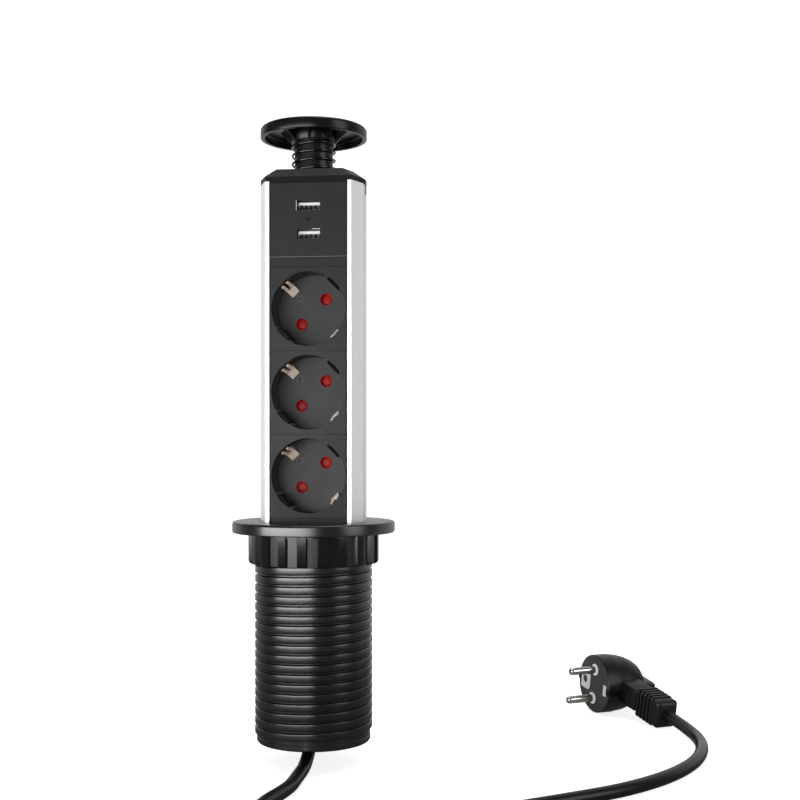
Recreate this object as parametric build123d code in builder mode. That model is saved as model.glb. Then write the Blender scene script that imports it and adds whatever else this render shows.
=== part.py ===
from build123d import *
import os
from math import asin, atan2, cos, degrees, hypot, pi, radians, sin, sqrt, tan

# A pop up desk socket, in millimetres. The origin is the middle of the flange's underside,
# where the flange lies on the worktop. +Z is up and the sockets face -Y.

# Worktop fitting
flange_diameter = 88.4
flange_height = 6.0
flange_round = 1.4
sleeve_diameter = 63.8
sleeve_depth = 113.0
sleeve_foot_diameter = 61.6
sleeve_foot_height = 3.0
guide_clearance = 0.4
guide_depth = 36.0
lower_bore_step = 0.5
guide_rib_width = 1.4
guide_rib_reach = 1.4
guide_rib_drop = 2.0
seal_width = 3.4
seal_height = 1.0
seal_edge_gap = 3.0
nut_diameter = 70.8
nut_height = 16.6
nut_rib_depth = 1.5
nut_rib_count = 20
nut_gap = 0.3
washer_height = 1.4
washer_width = 2.2

# Column
column_radius = 28.8
front_flat = 17.0
fascia_height = 40.0
column_wall = 1.8
window_width = 42.2
stop_gap = 0.1
groove_angle = 9.4
facet_angle = 12.6
groove_width = 2.0
groove_depth = 1.6
groove_floor = 1.5
screw_port_radius = 2.8
screw_core_radius = 1.5
screw_port_angles = (22, 90, 158)
top_cap_height = 7.0
top_cap_lip = 2.8
top_cap_bevel = 6.1
top_cap_front_bevel = 3.0
end_cap_spigot = 5.0
bottom_cap_height = 6.0
tab_height = 5.4
tab_width = 4.0
fit_gap = 0.1

# Front plates, from the top down
plate_setback = 0.3
plate_lip = 1.5
plate_flange = 1.8
plate_overlap = 0.9
joint_gap = 0.15
socket_count = 3
sockets_above_flange = 2.55
spacer_height = 4.95
fascia_drop = 0.9
blank_setback = 0.8

# Sockets
recess_diameter = 40.0
socket_margin = 4.5
recess_depth = 17.5
cup_wall = 1.3
floor_thickness = 2.2
pin_distance = 19.0
pin_line_angle = 45
hole_diameter = 6.7
hole_throat = 5.6
chamber_depth = 2.6
shutter_thickness = 2.0
shutter_width = 9.2
shutter_pivot = 2.0
running_gap = 0.05
face_gap = 0.2
guide_ridge_width = 5.2
guide_ridge_height = 1.9
guide_ridge_start = 2.0
clip_thickness = 0.8
clip_width = 5.6
clip_slot_start = 6.0
sleeve_contact_radius = 3.3
sleeve_contact_bore = 2.35
sleeve_contact_length = 11.0
back_width = 34.0
back_margin = 2.5
back_depth = 12.3
busbar_width = 5.0
busbar_thickness = 0.8

# USB module
usb_window_width = 12.6
usb_window_height = 5.1
usb_upper_drop = 12.1
usb_pitch = 15.3
usb_shell_wall = 0.35
usb_shell_depth = 13.6
tongue_height = 1.9
tongue_side_gap = 0.5
led_radius = 0.6
board_thickness = 1.6
board_width = 33.0
board_height = 26.0
transformer_size = (15.0, 13.0, 13.0)
capacitor_radius = 4.0
capacitor_length = 11.0
coil_radius = 3.5
coil_length = 6.0

# Push cap
cap_diameter = 57.8
cap_height = 6.0
cap_round = 1.9
cap_skirt = 2.4
cap_plate = 2.0
cap_above_column = 18.6
cap_travel = 12.0
hub_radius = 12.2
hub_height = 6.0
gusset_reach = 6.0
gusset_thickness = 1.4
gusset_count = 8
stem_diameter = 20.8
stem_gap = 0.2
well_depth = 14.6
well_wall = 1.6
well_floor = 1.5
stem_rest_depth = 2.4
post_radius = 4.8
collar_height = 6.0
stem_bore_radius = 7.4
spring_wire = 1.2
spring_seat_depth = 2.5
spring_radius = 11.55
spring_half_turns = 8

# Cord and plug
cord_diameter = 7.0
gland_reach = 22.0
gland_place = 9.0
gland_radius = 7.6
gland_end_radius = 4.8
gland_nut_height = 5.0
gland_nut_across = 20.0
wire_diameter = 2.6
surface_below_foot = 12.0
plug_diameter = 37.0
plug_rim_depth = 10.0
plug_body_depth = 29.0
plug_grip_depth = 35.0
plug_grip_width = 9.0
plug_grip_length = 26.0
plug_back_width = 24.0
neck_width = 14.0
neck_depth = 15.0
neck_place = 17.0
neck_end = 33.0
relief_core = 10.0
relief_fin = 18.0
relief_fin_depth = 15.0
relief_fin_thickness = 1.9
relief_fin_pitch = 3.5
relief_fin_count = 5
relief_collar = 16.8
relief_collar_length = 7.2
plug_pin_radius = 2.4
plug_pin_length = 19.0
plug_ring_radius = 3.7
plug_ring_height = 0.5
earth_notch_width = 6.0
earth_notch_depth = 2.6
earth_plate_width = 7.4
earth_plate_length = 9.5
earth_small_length = 3.6
earth_plate_thickness = 0.6
plug_x = 157.0
plug_y = 140.0
plug_heading = -61.0

# Cuts run past the face that they open
overrun = 1.0
wire_lead_share = 0.15
coil_skip = 60.0
spring_skip = 40.0

# Levels and places that follow from the sizes above
cord_radius = cord_diameter / 2
sleeve_radius = sleeve_diameter / 2
bore_radius = column_radius + guide_clearance
lower_bore_radius = bore_radius + lower_bore_step
surface_level = -sleeve_depth - surface_below_foot
column_bottom = -guide_depth - stop_gap
socket_pitch = recess_diameter + socket_margin
back_height = socket_pitch - back_margin
sockets_base = flange_height + sockets_above_flange
socket_levels = [sockets_base + socket_pitch * (n + 0.5) for n in range(socket_count)]
sockets_top = sockets_base + socket_pitch * socket_count
usb_base = sockets_top + spacer_height
fascia_top = usb_base + fascia_height
column_top = fascia_top + fascia_drop
column_length = column_top - column_bottom
cap_top_level = column_top + top_cap_height
plate_front = -front_flat + plate_setback
plate_width = window_width - 2 * fit_gap
flange_width = window_width + 2 * plate_overlap
plate_flange_front = -front_flat + column_wall + fit_gap / 2
plate_back = plate_flange_front + plate_flange
cup_radius = recess_diameter / 2 + cup_wall
floor_back = plate_front + recess_depth + floor_thickness
chamber_back = floor_back + chamber_depth
back_end = chamber_back + back_depth
port_radius = column_radius - column_wall - screw_port_radius + 4 * fit_gap
inner_radius = column_radius - column_wall
groove_place = column_radius - groove_depth / 2


def round_outline(radius, flat):
    """The column's cross section: round, with a flat front between two facets."""
    with BuildSketch() as outline:
        with BuildLine():
            corner_x = sqrt(radius**2 - flat**2)
            facet_x = radius * cos(radians(facet_angle))
            facet_y = -radius * sin(radians(facet_angle))
            Polyline((-facet_x, facet_y), (-corner_x, -flat), (corner_x, -flat), (facet_x, facet_y))
            ThreePointArc((facet_x, facet_y), (0, radius), (-facet_x, facet_y))
        make_face()
    return outline.sketch


column_outline = round_outline(column_radius, front_flat)
port_places = [
    Location((port_radius * cos(radians(a)), port_radius * sin(radians(a)))) for a in screw_port_angles
]
groove_sides = (-groove_angle, 180 + groove_angle)


def around(angle, radius, level=0):
    """The place at an angle and radius about the column's axis, turned to face outwards."""
    return Location((radius * cos(radians(angle)), radius * sin(radians(angle)), level), (0, 0, angle))


def keep(part, name):
    """Label a finished piece and write its file."""
    part.label = name
    export_step(part, f"parts/{name}.step")


os.makedirs("parts", exist_ok=True)

# Flange and sleeve, one moulding, with two ribs that ride in the column's side grooves
with BuildPart() as mounting_sleeve:
    with BuildSketch(Plane.XZ) as section:
        with BuildLine():
            foot_level = -sleeve_depth + sleeve_foot_height
            Polyline(
                (bore_radius, flange_height),
                (flange_diameter / 2, flange_height),
                (flange_diameter / 2, 0),
                (sleeve_radius, 0),
                (sleeve_radius, foot_level),
                (sleeve_foot_diameter / 2, foot_level),
                (sleeve_foot_diameter / 2, -sleeve_depth),
                (lower_bore_radius, -sleeve_depth),
                (lower_bore_radius, -guide_depth),
                (bore_radius, -guide_depth),
                close=True,
            )
        make_face()
        fillet(section.vertices().sort_by(Axis.Y)[-2:].sort_by(Axis.X)[-1], flange_round)
    revolve(axis=Axis.Z)
    seal_inner = flange_diameter / 2 - seal_edge_gap - seal_width
    with BuildSketch():
        Circle(seal_inner + seal_width)
        Circle(seal_inner, mode=Mode.SUBTRACT)
    extrude(amount=seal_height, mode=Mode.SUBTRACT)
    rib_span = guide_depth - guide_rib_drop
    rib_length = guide_rib_reach + lower_bore_step
    for side in groove_sides:
        with Locations(around(side, bore_radius - guide_rib_reach, -guide_depth)):
            Box(rib_length, guide_rib_width, rib_span, align=(Align.MIN, Align.CENTER, Align.MIN))
keep(mounting_sleeve.part, "mounting_sleeve")

with BuildPart() as flange_seal:
    with BuildSketch():
        Circle(seal_inner + seal_width - fit_gap)
        Circle(seal_inner + fit_gap, mode=Mode.SUBTRACT)
    extrude(amount=seal_height)
keep(flange_seal.part, "flange_seal")

# Clamp nut and the washer that lies in its top face
nut_bore = sleeve_radius + nut_gap
washer_top = -face_gap
nut_top = washer_top - nut_gap / 3
nut_bottom = nut_top - nut_height
with BuildPart() as slip_washer:
    with BuildSketch(Plane.XY.offset(washer_top)):
        Circle(nut_bore + washer_width)
        Circle(nut_bore, mode=Mode.SUBTRACT)
    extrude(amount=-washer_height)
keep(slip_washer.part, "slip_washer")

with BuildPart() as ring_nut:
    with BuildSketch(Plane.XY.offset(nut_bottom)):
        Circle(nut_diameter / 2 - nut_rib_depth)
        with PolarLocations(nut_diameter / 2 - nut_rib_depth, nut_rib_count):
            rib_foot = pi * nut_diameter / nut_rib_count * 0.62
            with Locations(Location((0, 0), -90)):
                Trapezoid(rib_foot, nut_rib_depth * 2, 68)
        Circle(nut_bore, mode=Mode.SUBTRACT)
    extrude(amount=nut_height)
    washer_seat = washer_height - nut_gap / 3
    with BuildSketch(Plane.XY.offset(nut_top)):
        Circle(nut_bore + washer_width + fit_gap)
    extrude(amount=-washer_seat, mode=Mode.SUBTRACT)
keep(ring_nut.part, "ring_nut")

# Extruded column
with BuildPart() as column_profile:
    with BuildSketch(Plane.XY.offset(column_bottom)):
        add(column_outline)
        offset(amount=-column_wall, kind=Kind.INTERSECTION, mode=Mode.SUBTRACT)
        with Locations(port_places):
            Circle(screw_port_radius)
        for side in groove_sides:
            with Locations(around(side, column_radius - groove_depth - groove_floor)):
                Rectangle(groove_floor + groove_depth / 2, groove_width * 2.4, align=(Align.MIN, Align.CENTER))
        with Locations((0, -front_flat)):
            Rectangle(window_width, 2 * (column_wall + fit_gap), mode=Mode.SUBTRACT)
        with Locations(port_places):
            Circle(screw_core_radius, mode=Mode.SUBTRACT)
        for side in groove_sides:
            with Locations(around(side, column_radius - groove_depth)):
                Rectangle(2 * groove_depth, groove_width, align=(Align.MIN, Align.CENTER), mode=Mode.SUBTRACT)
    extrude(amount=column_length)
    tab_angle = groove_angle - degrees((groove_width + tab_width) / 2 / column_radius) - 1.2
    tab_sides = (-tab_angle, 180 + tab_angle)
    for side in tab_sides:
        with Locations(around(side, inner_radius - fit_gap, column_top)):
            Box(
                2 * column_wall,
                tab_width,
                tab_height,
                align=(Align.MIN, Align.CENTER, Align.MAX),
                mode=Mode.SUBTRACT,
            )
keep(column_profile.part, "column_profile")


def inner_outline(clearance):
    """The column's bore, drawn in by a clearance, clear of its screw ports and groove floors."""
    with BuildSketch() as bore:
        add(column_outline)
        offset(amount=-column_wall - clearance, kind=Kind.INTERSECTION, mode=Mode.REPLACE)
        with Locations(port_places):
            Circle(screw_port_radius + clearance, mode=Mode.SUBTRACT)
        for side in groove_sides:
            with Locations(around(side, column_radius)):
                Rectangle(
                    2 * (groove_depth + groove_floor + clearance),
                    groove_width * 2.4 + 2 * clearance,
                    mode=Mode.SUBTRACT,
                )
    return bore.sketch


# Top cap: bevelled rim, spigot, tongue between the lips, well and guide post of the push cap
well_radius = stem_diameter / 2 + stem_gap
well_bottom = cap_top_level - well_depth
stem_bottom = cap_top_level - stem_rest_depth
post_top = stem_bottom + collar_height
spring_seat = cap_top_level - spring_seat_depth
seat_radius = spring_radius + spring_wire
with BuildPart() as top_end_cap:
    with BuildSketch(Plane.XY.offset(column_top)):
        add(column_outline)
    extrude(amount=top_cap_lip)
    with BuildSketch(Plane.XY.offset(column_top + top_cap_lip)):
        add(column_outline)
    with BuildSketch(Plane.XY.offset(cap_top_level)):
        add(round_outline(column_radius - top_cap_bevel, front_flat - top_cap_front_bevel))
    loft()
    with BuildSketch(Plane.XY.offset(column_top)):
        add(inner_outline(fit_gap))
        with Locations((0, -front_flat)):
            Rectangle(2 * column_radius, 2 * (column_wall + plate_flange + fit_gap), mode=Mode.SUBTRACT)
    extrude(amount=-end_cap_spigot)
    with BuildSketch(Plane.XY.offset(column_top)):
        with Locations((0, -front_flat)):
            Rectangle(plate_width, column_wall, align=(Align.CENTER, Align.MIN))
    extrude(amount=-fascia_drop + joint_gap)
    for side in tab_sides:
        with Locations(around(side, inner_radius, column_top)):
            Box(
                column_wall - 2 * fit_gap,
                tab_width - 2 * fit_gap,
                tab_height - fit_gap,
                align=(Align.MIN, Align.CENTER, Align.MAX),
            )
    with BuildSketch(Plane.XY.offset(well_bottom - well_floor)):
        Circle(well_radius + well_wall)
    extrude(until=Until.NEXT)
    with BuildSketch(Plane.XY.offset(cap_top_level)):
        Circle(seat_radius)
    extrude(amount=-spring_seat_depth, mode=Mode.SUBTRACT)
    with BuildSketch(Plane.XY.offset(cap_top_level)):
        Circle(well_radius)
    extrude(amount=-well_depth, mode=Mode.SUBTRACT)
    with BuildSketch(Plane.XY.offset(well_bottom)):
        Circle(post_radius)
    extrude(amount=post_top - well_bottom)
    with BuildSketch(Plane.XY.offset(post_top)):
        Circle(screw_core_radius)
    extrude(amount=-collar_height, mode=Mode.SUBTRACT)
    for side in groove_sides:
        with Locations(around(side, column_radius - groove_depth, column_top)):
            Box(
                2 * groove_depth + overrun,
                groove_width,
                top_cap_height + overrun,
                align=(Align.MIN, Align.CENTER, Align.MIN),
                mode=Mode.SUBTRACT,
            )
    with BuildSketch(Plane.XY.offset(cap_top_level)):
        with Locations(port_places):
            Circle(screw_core_radius + fit_gap)
    extrude(amount=-top_cap_height - overrun, mode=Mode.SUBTRACT)
keep(top_end_cap.part, "top_end_cap")

# Bottom cap: it closes the grooves, so its rim stops under the sleeve's ribs
with BuildPart() as bottom_end_cap:
    with BuildSketch(Plane.XY.offset(column_bottom)):
        add(column_outline)
    extrude(amount=-bottom_cap_height)
    with BuildSketch(Plane.XY.offset(column_bottom)):
        add(inner_outline(fit_gap))
        with Locations((0, -front_flat)):
            Rectangle(2 * column_radius, 2 * (column_wall + plate_flange + fit_gap), mode=Mode.SUBTRACT)
    extrude(amount=end_cap_spigot)
    with BuildSketch(Plane.XY.offset(column_bottom + end_cap_spigot)):
        add(column_outline)
        offset(amount=-column_wall * 3, kind=Kind.INTERSECTION, mode=Mode.REPLACE)
        with Locations(port_places):
            Circle(screw_port_radius + column_wall, mode=Mode.SUBTRACT)
    extrude(amount=-end_cap_spigot, mode=Mode.SUBTRACT)
    with BuildSketch(Plane.XY.offset(column_bottom)):
        with Locations((0, gland_place)):
            Circle(gland_radius - fit_gap * 8)
    extrude(amount=-bottom_cap_height, mode=Mode.SUBTRACT)
    with BuildSketch(Plane.XY.offset(column_bottom)):
        with Locations(port_places):
            Circle(screw_core_radius + fit_gap)
    extrude(amount=-bottom_cap_height, mode=Mode.SUBTRACT)
keep(bottom_end_cap.part, "bottom_end_cap")


def end_screws(level, inward):
    """Three screws that hold an end cap, their heads let into it and their shanks in the ports."""
    with BuildPart() as screws:
        with BuildSketch(Plane.XY.offset(level)):
            with Locations(port_places):
                Circle(screw_core_radius - fit_gap / 2)
        extrude(amount=inward * (bottom_cap_height + 2 * end_cap_spigot))
    return screws.part


keep(end_screws(column_top + top_cap_lip, -1), "top_screws")
keep(end_screws(column_bottom - bottom_cap_height + fit_gap, 1), "bottom_screws")

# Push cap: hollow disc with a ribbed hub, stem, retainer and spring
cap_bottom = cap_top_level + cap_above_column
disc_top = cap_bottom + cap_height
ceiling = disc_top - cap_plate
hub_bottom = ceiling - hub_height
stem_radius = stem_diameter / 2
with BuildPart() as cap_disc:
    with BuildSketch(Plane.XZ) as disc_section:
        with BuildLine():
            Polyline(
                (0, disc_top),
                (cap_diameter / 2, disc_top),
                (cap_diameter / 2, cap_bottom),
                (cap_diameter / 2 - cap_skirt, cap_bottom),
                (cap_diameter / 2 - cap_skirt, ceiling),
                (hub_radius, ceiling),
                (hub_radius, hub_bottom),
                (stem_radius + running_gap, hub_bottom),
                (stem_radius + running_gap, ceiling),
                (0, ceiling),
                close=True,
            )
        make_face()
        fillet(disc_section.vertices().sort_by(Axis.Y)[-2:].sort_by(Axis.X)[-1], cap_round)
    revolve(axis=Axis.Z)
    with BuildSketch(Plane.XZ):
        with BuildLine():
            inside_hub = hub_radius - (hub_radius - stem_radius) / 2
            Polyline(
                (inside_hub, hub_bottom + fit_gap),
                (hub_radius + fit_gap, hub_bottom + fit_gap),
                (hub_radius + gusset_reach, ceiling),
                (hub_radius + gusset_reach, ceiling + fit_gap),
                (inside_hub, ceiling + fit_gap),
                close=True,
            )
        make_face()
    gusset = extrude(amount=gusset_thickness / 2, both=True)
    with PolarLocations(0, gusset_count - 1, start_angle=360 / gusset_count, angular_range=360 - 360 / gusset_count):
        add(gusset)
keep(cap_disc.part, "cap_disc")

with BuildPart() as cap_stem:
    with BuildSketch(Plane.XY.offset(stem_bottom)):
        Circle(stem_radius)
    extrude(amount=ceiling - stem_bottom)
    with BuildSketch(Plane.XY.offset(ceiling)):
        Circle(stem_bore_radius)
    extrude(amount=post_top - ceiling, mode=Mode.SUBTRACT)
    with BuildSketch(Plane.XY.offset(post_top)):
        Circle(post_radius + running_gap)
    extrude(amount=-collar_height, mode=Mode.SUBTRACT)
keep(cap_stem.part, "cap_stem")

with BuildPart() as stem_retainer:
    retainer_washer = spring_wire
    with BuildSketch(Plane.XY.offset(post_top)):
        Circle(stem_bore_radius - stem_gap)
    extrude(amount=retainer_washer)
    with BuildSketch(Plane.XY.offset(post_top + retainer_washer)):
        Circle(stem_bore_radius / 2)
    extrude(amount=2 * retainer_washer)
    with BuildSketch(Plane.XY.offset(post_top)):
        Circle(screw_core_radius - fit_gap / 2)
    extrude(amount=-collar_height + fit_gap)
keep(stem_retainer.part, "stem_retainer")


spring_bottom = spring_seat + spring_wire / 2
spring_height = hub_bottom - spring_seat - spring_wire
with BuildPart() as cap_spring:
    with BuildLine() as spring_path:
        end = (-spring_radius, 0, spring_bottom)
        side = 1
        for turn in range(spring_half_turns + 2):
            flat = turn == 0 or turn == spring_half_turns + 1
            climb = 0 if flat else spring_height / spring_half_turns
            level = end[2] + climb
            nearer = (0, side * -hypot(spring_radius, climb / 2), end[2] + climb / 2)
            first = TangentArc(end, nearer, tangent=(0, -side, 0))
            TangentArc(nearer, (-end[0], 0, level), tangent=first % 1)
            end = (-end[0], 0, level)
            side = -side
    with BuildSketch(Plane(origin=(-spring_radius, 0, spring_bottom), z_dir=(0, -1, 0))):
        RegularPolygon(spring_wire / 2, 5)
    sweep(path=spring_path.wire())
keep(cap_spring.part, "cap_spring")


def front_plate(bottom, height, front):
    """A plate between the column's lips, with a flange behind them."""
    with BuildPart() as plate:
        with BuildSketch(Plane.XY.offset(bottom)):
            with Locations((0, front)):
                Rectangle(plate_width, plate_back - front, align=(Align.CENTER, Align.MIN))
            with Locations((0, plate_flange_front)):
                Rectangle(flange_width, plate_flange, align=(Align.CENTER, Align.MIN))
        extrude(amount=height)
    return plate.part


keep(front_plate(sockets_top, spacer_height - joint_gap, plate_front), "spacer_strip")
blank_bottom = column_bottom
keep(
    front_plate(blank_bottom, sockets_base - blank_bottom - joint_gap, plate_front + blank_setback),
    "lower_blank",
)

# USB module
usb_levels = (fascia_top - usb_upper_drop, fascia_top - usb_upper_drop - usb_pitch)
led_level = (usb_levels[0] + usb_levels[1]) / 2
with BuildPart() as usb_fascia:
    add(front_plate(usb_base, fascia_top - usb_base, plate_front))
    face_plane = Plane.XZ.offset(-plate_front)
    with BuildSketch(face_plane):
        with Locations([(0, level) for level in usb_levels]):
            Rectangle(usb_window_width, usb_window_height)
        with Locations((0, led_level)):
            Circle(led_radius + fit_gap)
    extrude(amount=-plate_back + plate_front, mode=Mode.SUBTRACT)
keep(usb_fascia.part, "usb_fascia")

shell_outer = (usb_window_width + 2 * usb_shell_wall, usb_window_height + 2 * usb_shell_wall)
for name, level in zip(("usb_port_upper", "usb_port_lower"), usb_levels):
    with BuildPart() as usb_port:
        with BuildSketch(Plane.XZ.offset(-plate_back)):
            with Locations((0, level)):
                Rectangle(*shell_outer)
        extrude(amount=-usb_shell_depth)
        with BuildSketch(Plane.XZ.offset(-plate_back)):
            with Locations((0, level)):
                Rectangle(usb_window_width, usb_window_height)
        extrude(amount=-usb_shell_depth + usb_shell_wall, mode=Mode.SUBTRACT)
    keep(usb_port.part, name)

with BuildPart() as usb_tongues:
    with BuildSketch(Plane.XZ.offset(-plate_back)):
        with Locations([(0, level + tongue_height / 2) for level in usb_levels]):
            Rectangle(usb_window_width - 2 * tongue_side_gap, tongue_height)
    extrude(amount=-usb_shell_depth + usb_shell_wall)
keep(usb_tongues.part, "usb_tongues")

board_front = plate_back + usb_shell_depth
board_back = board_front + board_thickness
board_middle = usb_levels[1] + usb_window_height
with BuildPart() as usb_board:
    with BuildSketch(Plane.XZ.offset(-board_front)):
        with Locations((0, board_middle)):
            Rectangle(board_width, board_height)
    extrude(amount=-board_thickness)
keep(usb_board.part, "usb_board")

with BuildPart() as usb_converter:
    long_side, tall_side, deep_side = transformer_size
    with BuildSketch(Plane.XZ.offset(-board_back)):
        with Locations((-board_width / 4, board_middle)):
            Rectangle(long_side, tall_side)
    extrude(amount=-deep_side)
    with BuildSketch(Plane.XZ.offset(-board_back)):
        with Locations((board_width / 4, board_middle + capacitor_radius)):
            Circle(capacitor_radius)
    extrude(amount=-capacitor_length)
    with BuildSketch(Plane.XZ.offset(-board_back)):
        with Locations((board_width / 4, board_middle - capacitor_radius - coil_radius / 2)):
            Circle(coil_radius)
    extrude(amount=-coil_length)
keep(usb_converter.part, "usb_converter")

with BuildPart() as led_lens:
    with BuildSketch(face_plane):
        with Locations((0, led_level)):
            Circle(led_radius)
    extrude(amount=-board_front + plate_front)
keep(led_lens.part, "led_lens")

# Sockets, each with its insert, shutter, earth clip, contacts and rear housing
leg_radius = recess_diameter / 2 + clip_thickness / 2
bulge_radius = recess_diameter / 2 - 3 * clip_thickness
clip_back = chamber_back + clip_thickness
contact_front = clip_back + clip_thickness
rear_face = back_end + fit_gap


def socket_plane(level, y):
    """A plane across a socket's axis, facing out of the socket."""
    return Plane(origin=(0, y, level), x_dir=(1, 0, 0), z_dir=(0, -1, 0))


def pin_places():
    """The two pin places of a socket, on its slanted line."""
    return PolarLocations(pin_distance / 2, 2, start_angle=pin_line_angle)


def make_insert(level):
    """Front plate, round recess with its floor, guide ridges and earth slots, and the shutter chamber."""
    bottom = level - socket_pitch / 2
    with BuildPart() as insert:
        add(front_plate(bottom, socket_pitch - joint_gap, plate_front))
        with BuildSketch(socket_plane(level, plate_flange_front)):
            Circle(cup_radius)
        extrude(amount=-chamber_back + plate_flange_front)
        with BuildSketch(socket_plane(level, plate_front)):
            Circle(recess_diameter / 2)
        extrude(amount=-recess_depth, mode=Mode.SUBTRACT)
        with BuildSketch(socket_plane(level, plate_front + recess_depth)):
            with PolarLocations(recess_diameter / 2 - guide_ridge_height, 2, start_angle=pin_line_angle):
                Rectangle(guide_ridge_height + cup_wall / 2, guide_ridge_width, align=(Align.MIN, Align.CENTER))
        extrude(amount=recess_depth - guide_ridge_start)
        with BuildSketch(socket_plane(level, chamber_back)):
            Circle(recess_diameter / 2 - cup_wall)
            Circle(shutter_pivot, mode=Mode.SUBTRACT)
        extrude(amount=chamber_depth, mode=Mode.SUBTRACT)
        with BuildSketch(socket_plane(level, floor_back)):
            with pin_places():
                Circle(hole_throat / 2)
        extrude(amount=floor_thickness, mode=Mode.SUBTRACT)
        with BuildSketch(socket_plane(level, plate_front + recess_depth + floor_thickness / 2)):
            with pin_places():
                Circle(hole_diameter / 2)
        extrude(amount=floor_thickness / 2, mode=Mode.SUBTRACT)
        with BuildSketch(socket_plane(level, chamber_back)):
            with PolarLocations(bulge_radius, 2, start_angle=pin_line_angle + 90):
                Rectangle(
                    cup_radius - bulge_radius - clip_thickness / 4,
                    clip_width + 2 * face_gap,
                    align=(Align.MIN, Align.CENTER),
                )
        extrude(amount=chamber_back - plate_front - clip_slot_start, mode=Mode.SUBTRACT)
    return insert.part


def make_shutter(level):
    """A bar with round ends that covers both pin holes from behind and turns on the pivot."""
    with BuildPart() as shutter:
        with BuildSketch(socket_plane(level, floor_back + face_gap)):
            SlotOverall(pin_distance + shutter_width, shutter_width, rotation=pin_line_angle)
            Circle(shutter_pivot + running_gap, mode=Mode.SUBTRACT)
        extrude(amount=-shutter_thickness)
    return shutter.part


def make_earth_clip(level):
    """One strip bent into two sprung legs, across the back of the chamber and forward in the wall."""
    across = (-cos(radians(pin_line_angle)), 0, sin(radians(pin_line_angle)))
    middle = Plane(origin=(0, chamber_back, level), x_dir=across, z_dir=Vector(*across).cross(Vector(0, 1, 0)))
    slope = recess_depth + floor_thickness + chamber_depth
    with BuildPart() as clip:
        with BuildSketch(middle):
            with BuildLine():
                bend_share, bulge_share, tip_share = 0.26, 0.42, 0.66
                half = [
                    (leg_radius, clip_thickness),
                    (leg_radius, -slope * bend_share),
                    (bulge_radius, -slope * bulge_share),
                    (leg_radius - clip_thickness, -slope * tip_share),
                ]
                mirrored = [(-x, y) for x, y in half]
                Polyline(*mirrored[::-1], *half)
                offset(amount=clip_thickness, side=Side.RIGHT)
            make_face()
        extrude(amount=clip_width / 2, both=True)
    return clip.part


def make_contacts(level):
    """Line and neutral spring sleeves, split along one side."""
    with BuildPart() as contacts:
        with BuildSketch(socket_plane(level, contact_front)):
            with pin_places():
                Circle(sleeve_contact_radius)
                Circle(sleeve_contact_bore, mode=Mode.SUBTRACT)
                Rectangle(
                    2 * sleeve_contact_radius, clip_thickness, align=(Align.MIN, Align.CENTER), mode=Mode.SUBTRACT
                )
        extrude(amount=-back_end + contact_front)
    return contacts.part


def make_back(level):
    """Rear housing with the contacts' chambers and the earth strip's channel."""
    with BuildPart() as back:
        with BuildSketch(socket_plane(level, chamber_back)) as outline:
            Rectangle(back_width, back_height)
            chamfer(outline.vertices(), cup_wall * 2)
        extrude(amount=-back_depth)
        with BuildSketch(socket_plane(level, chamber_back)):
            with pin_places():
                Circle(sleeve_contact_radius + fit_gap)
        extrude(amount=-back_depth, mode=Mode.SUBTRACT)
        with BuildSketch(socket_plane(level, chamber_back)):
            Rectangle(
                2 * cup_radius + back_width, clip_width + 2 * face_gap, rotation=pin_line_angle + 90
            )
        extrude(amount=-2 * clip_thickness - fit_gap, mode=Mode.SUBTRACT)
    return back.part


for number, level in enumerate(socket_levels, start=1):
    keep(make_insert(level), f"socket_insert_{number}")
    keep(make_shutter(level), f"shutter_{number}")
    keep(make_earth_clip(level), f"earth_clip_{number}")
    keep(make_contacts(level), f"pin_contacts_{number}")
    keep(make_back(level), f"socket_back_{number}")

# Bus bars behind the housings, with an insulating sheet between them and the column
bar_share = cos(radians(pin_line_angle))
bar_offset = pin_distance / 2 * bar_share
bar_bottom = socket_levels[0] - back_height / 2
bar_top = socket_levels[-1] + back_height / 2
bars = {"busbar_line": bar_offset, "busbar_neutral": -bar_offset, "busbar_earth": 0}
for name, place in bars.items():
    with BuildPart() as busbar:
        with BuildSketch(Plane.XY.offset(bar_bottom)):
            with Locations((place, rear_face)):
                Rectangle(busbar_width, busbar_thickness, align=(Align.CENTER, Align.MIN))
        extrude(amount=bar_top - bar_bottom)
    keep(busbar.part, name)

insulator_front = rear_face + busbar_thickness + fit_gap
with BuildPart() as rear_insulator:
    with BuildSketch(Plane.XY.offset(bar_bottom)):
        with Locations((0, insulator_front)):
            Rectangle(2 * bar_offset + 2 * busbar_width, busbar_thickness, align=(Align.CENTER, Align.MIN))
    extrude(amount=bar_top - bar_bottom)
keep(rear_insulator.part, "rear_insulator")


def bend_radii(points):
    """The radius at each corner of a route: 0.45 of the shorter run over the tangent of half the turn."""
    radii = []
    for before, here, after in zip(points, points[1:], points[2:]):
        run_in = Vector(*here) - Vector(*before)
        run_out = Vector(*after) - Vector(*here)
        half = radians(run_in.get_angle(run_out)) / 2
        radii.append(0.45 * min(run_in.length, run_out.length) / tan(half))
    return radii


def wire_tube(points, bend_radius, thickness, sides):
    """A tube with flat sides along straight runs that tangent arcs join."""
    with BuildPart() as tube:
        with BuildLine() as path:
            FilletPolyline(*points, radius=[min(bend_radius, r) for r in bend_radii(points)])
        run = path.wire()
        with BuildSketch(Plane(origin=run @ 0, z_dir=run % 0)):
            RegularPolygon(thickness / 2, sides)
        sweep(path=run)
    return tube.part


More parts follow.
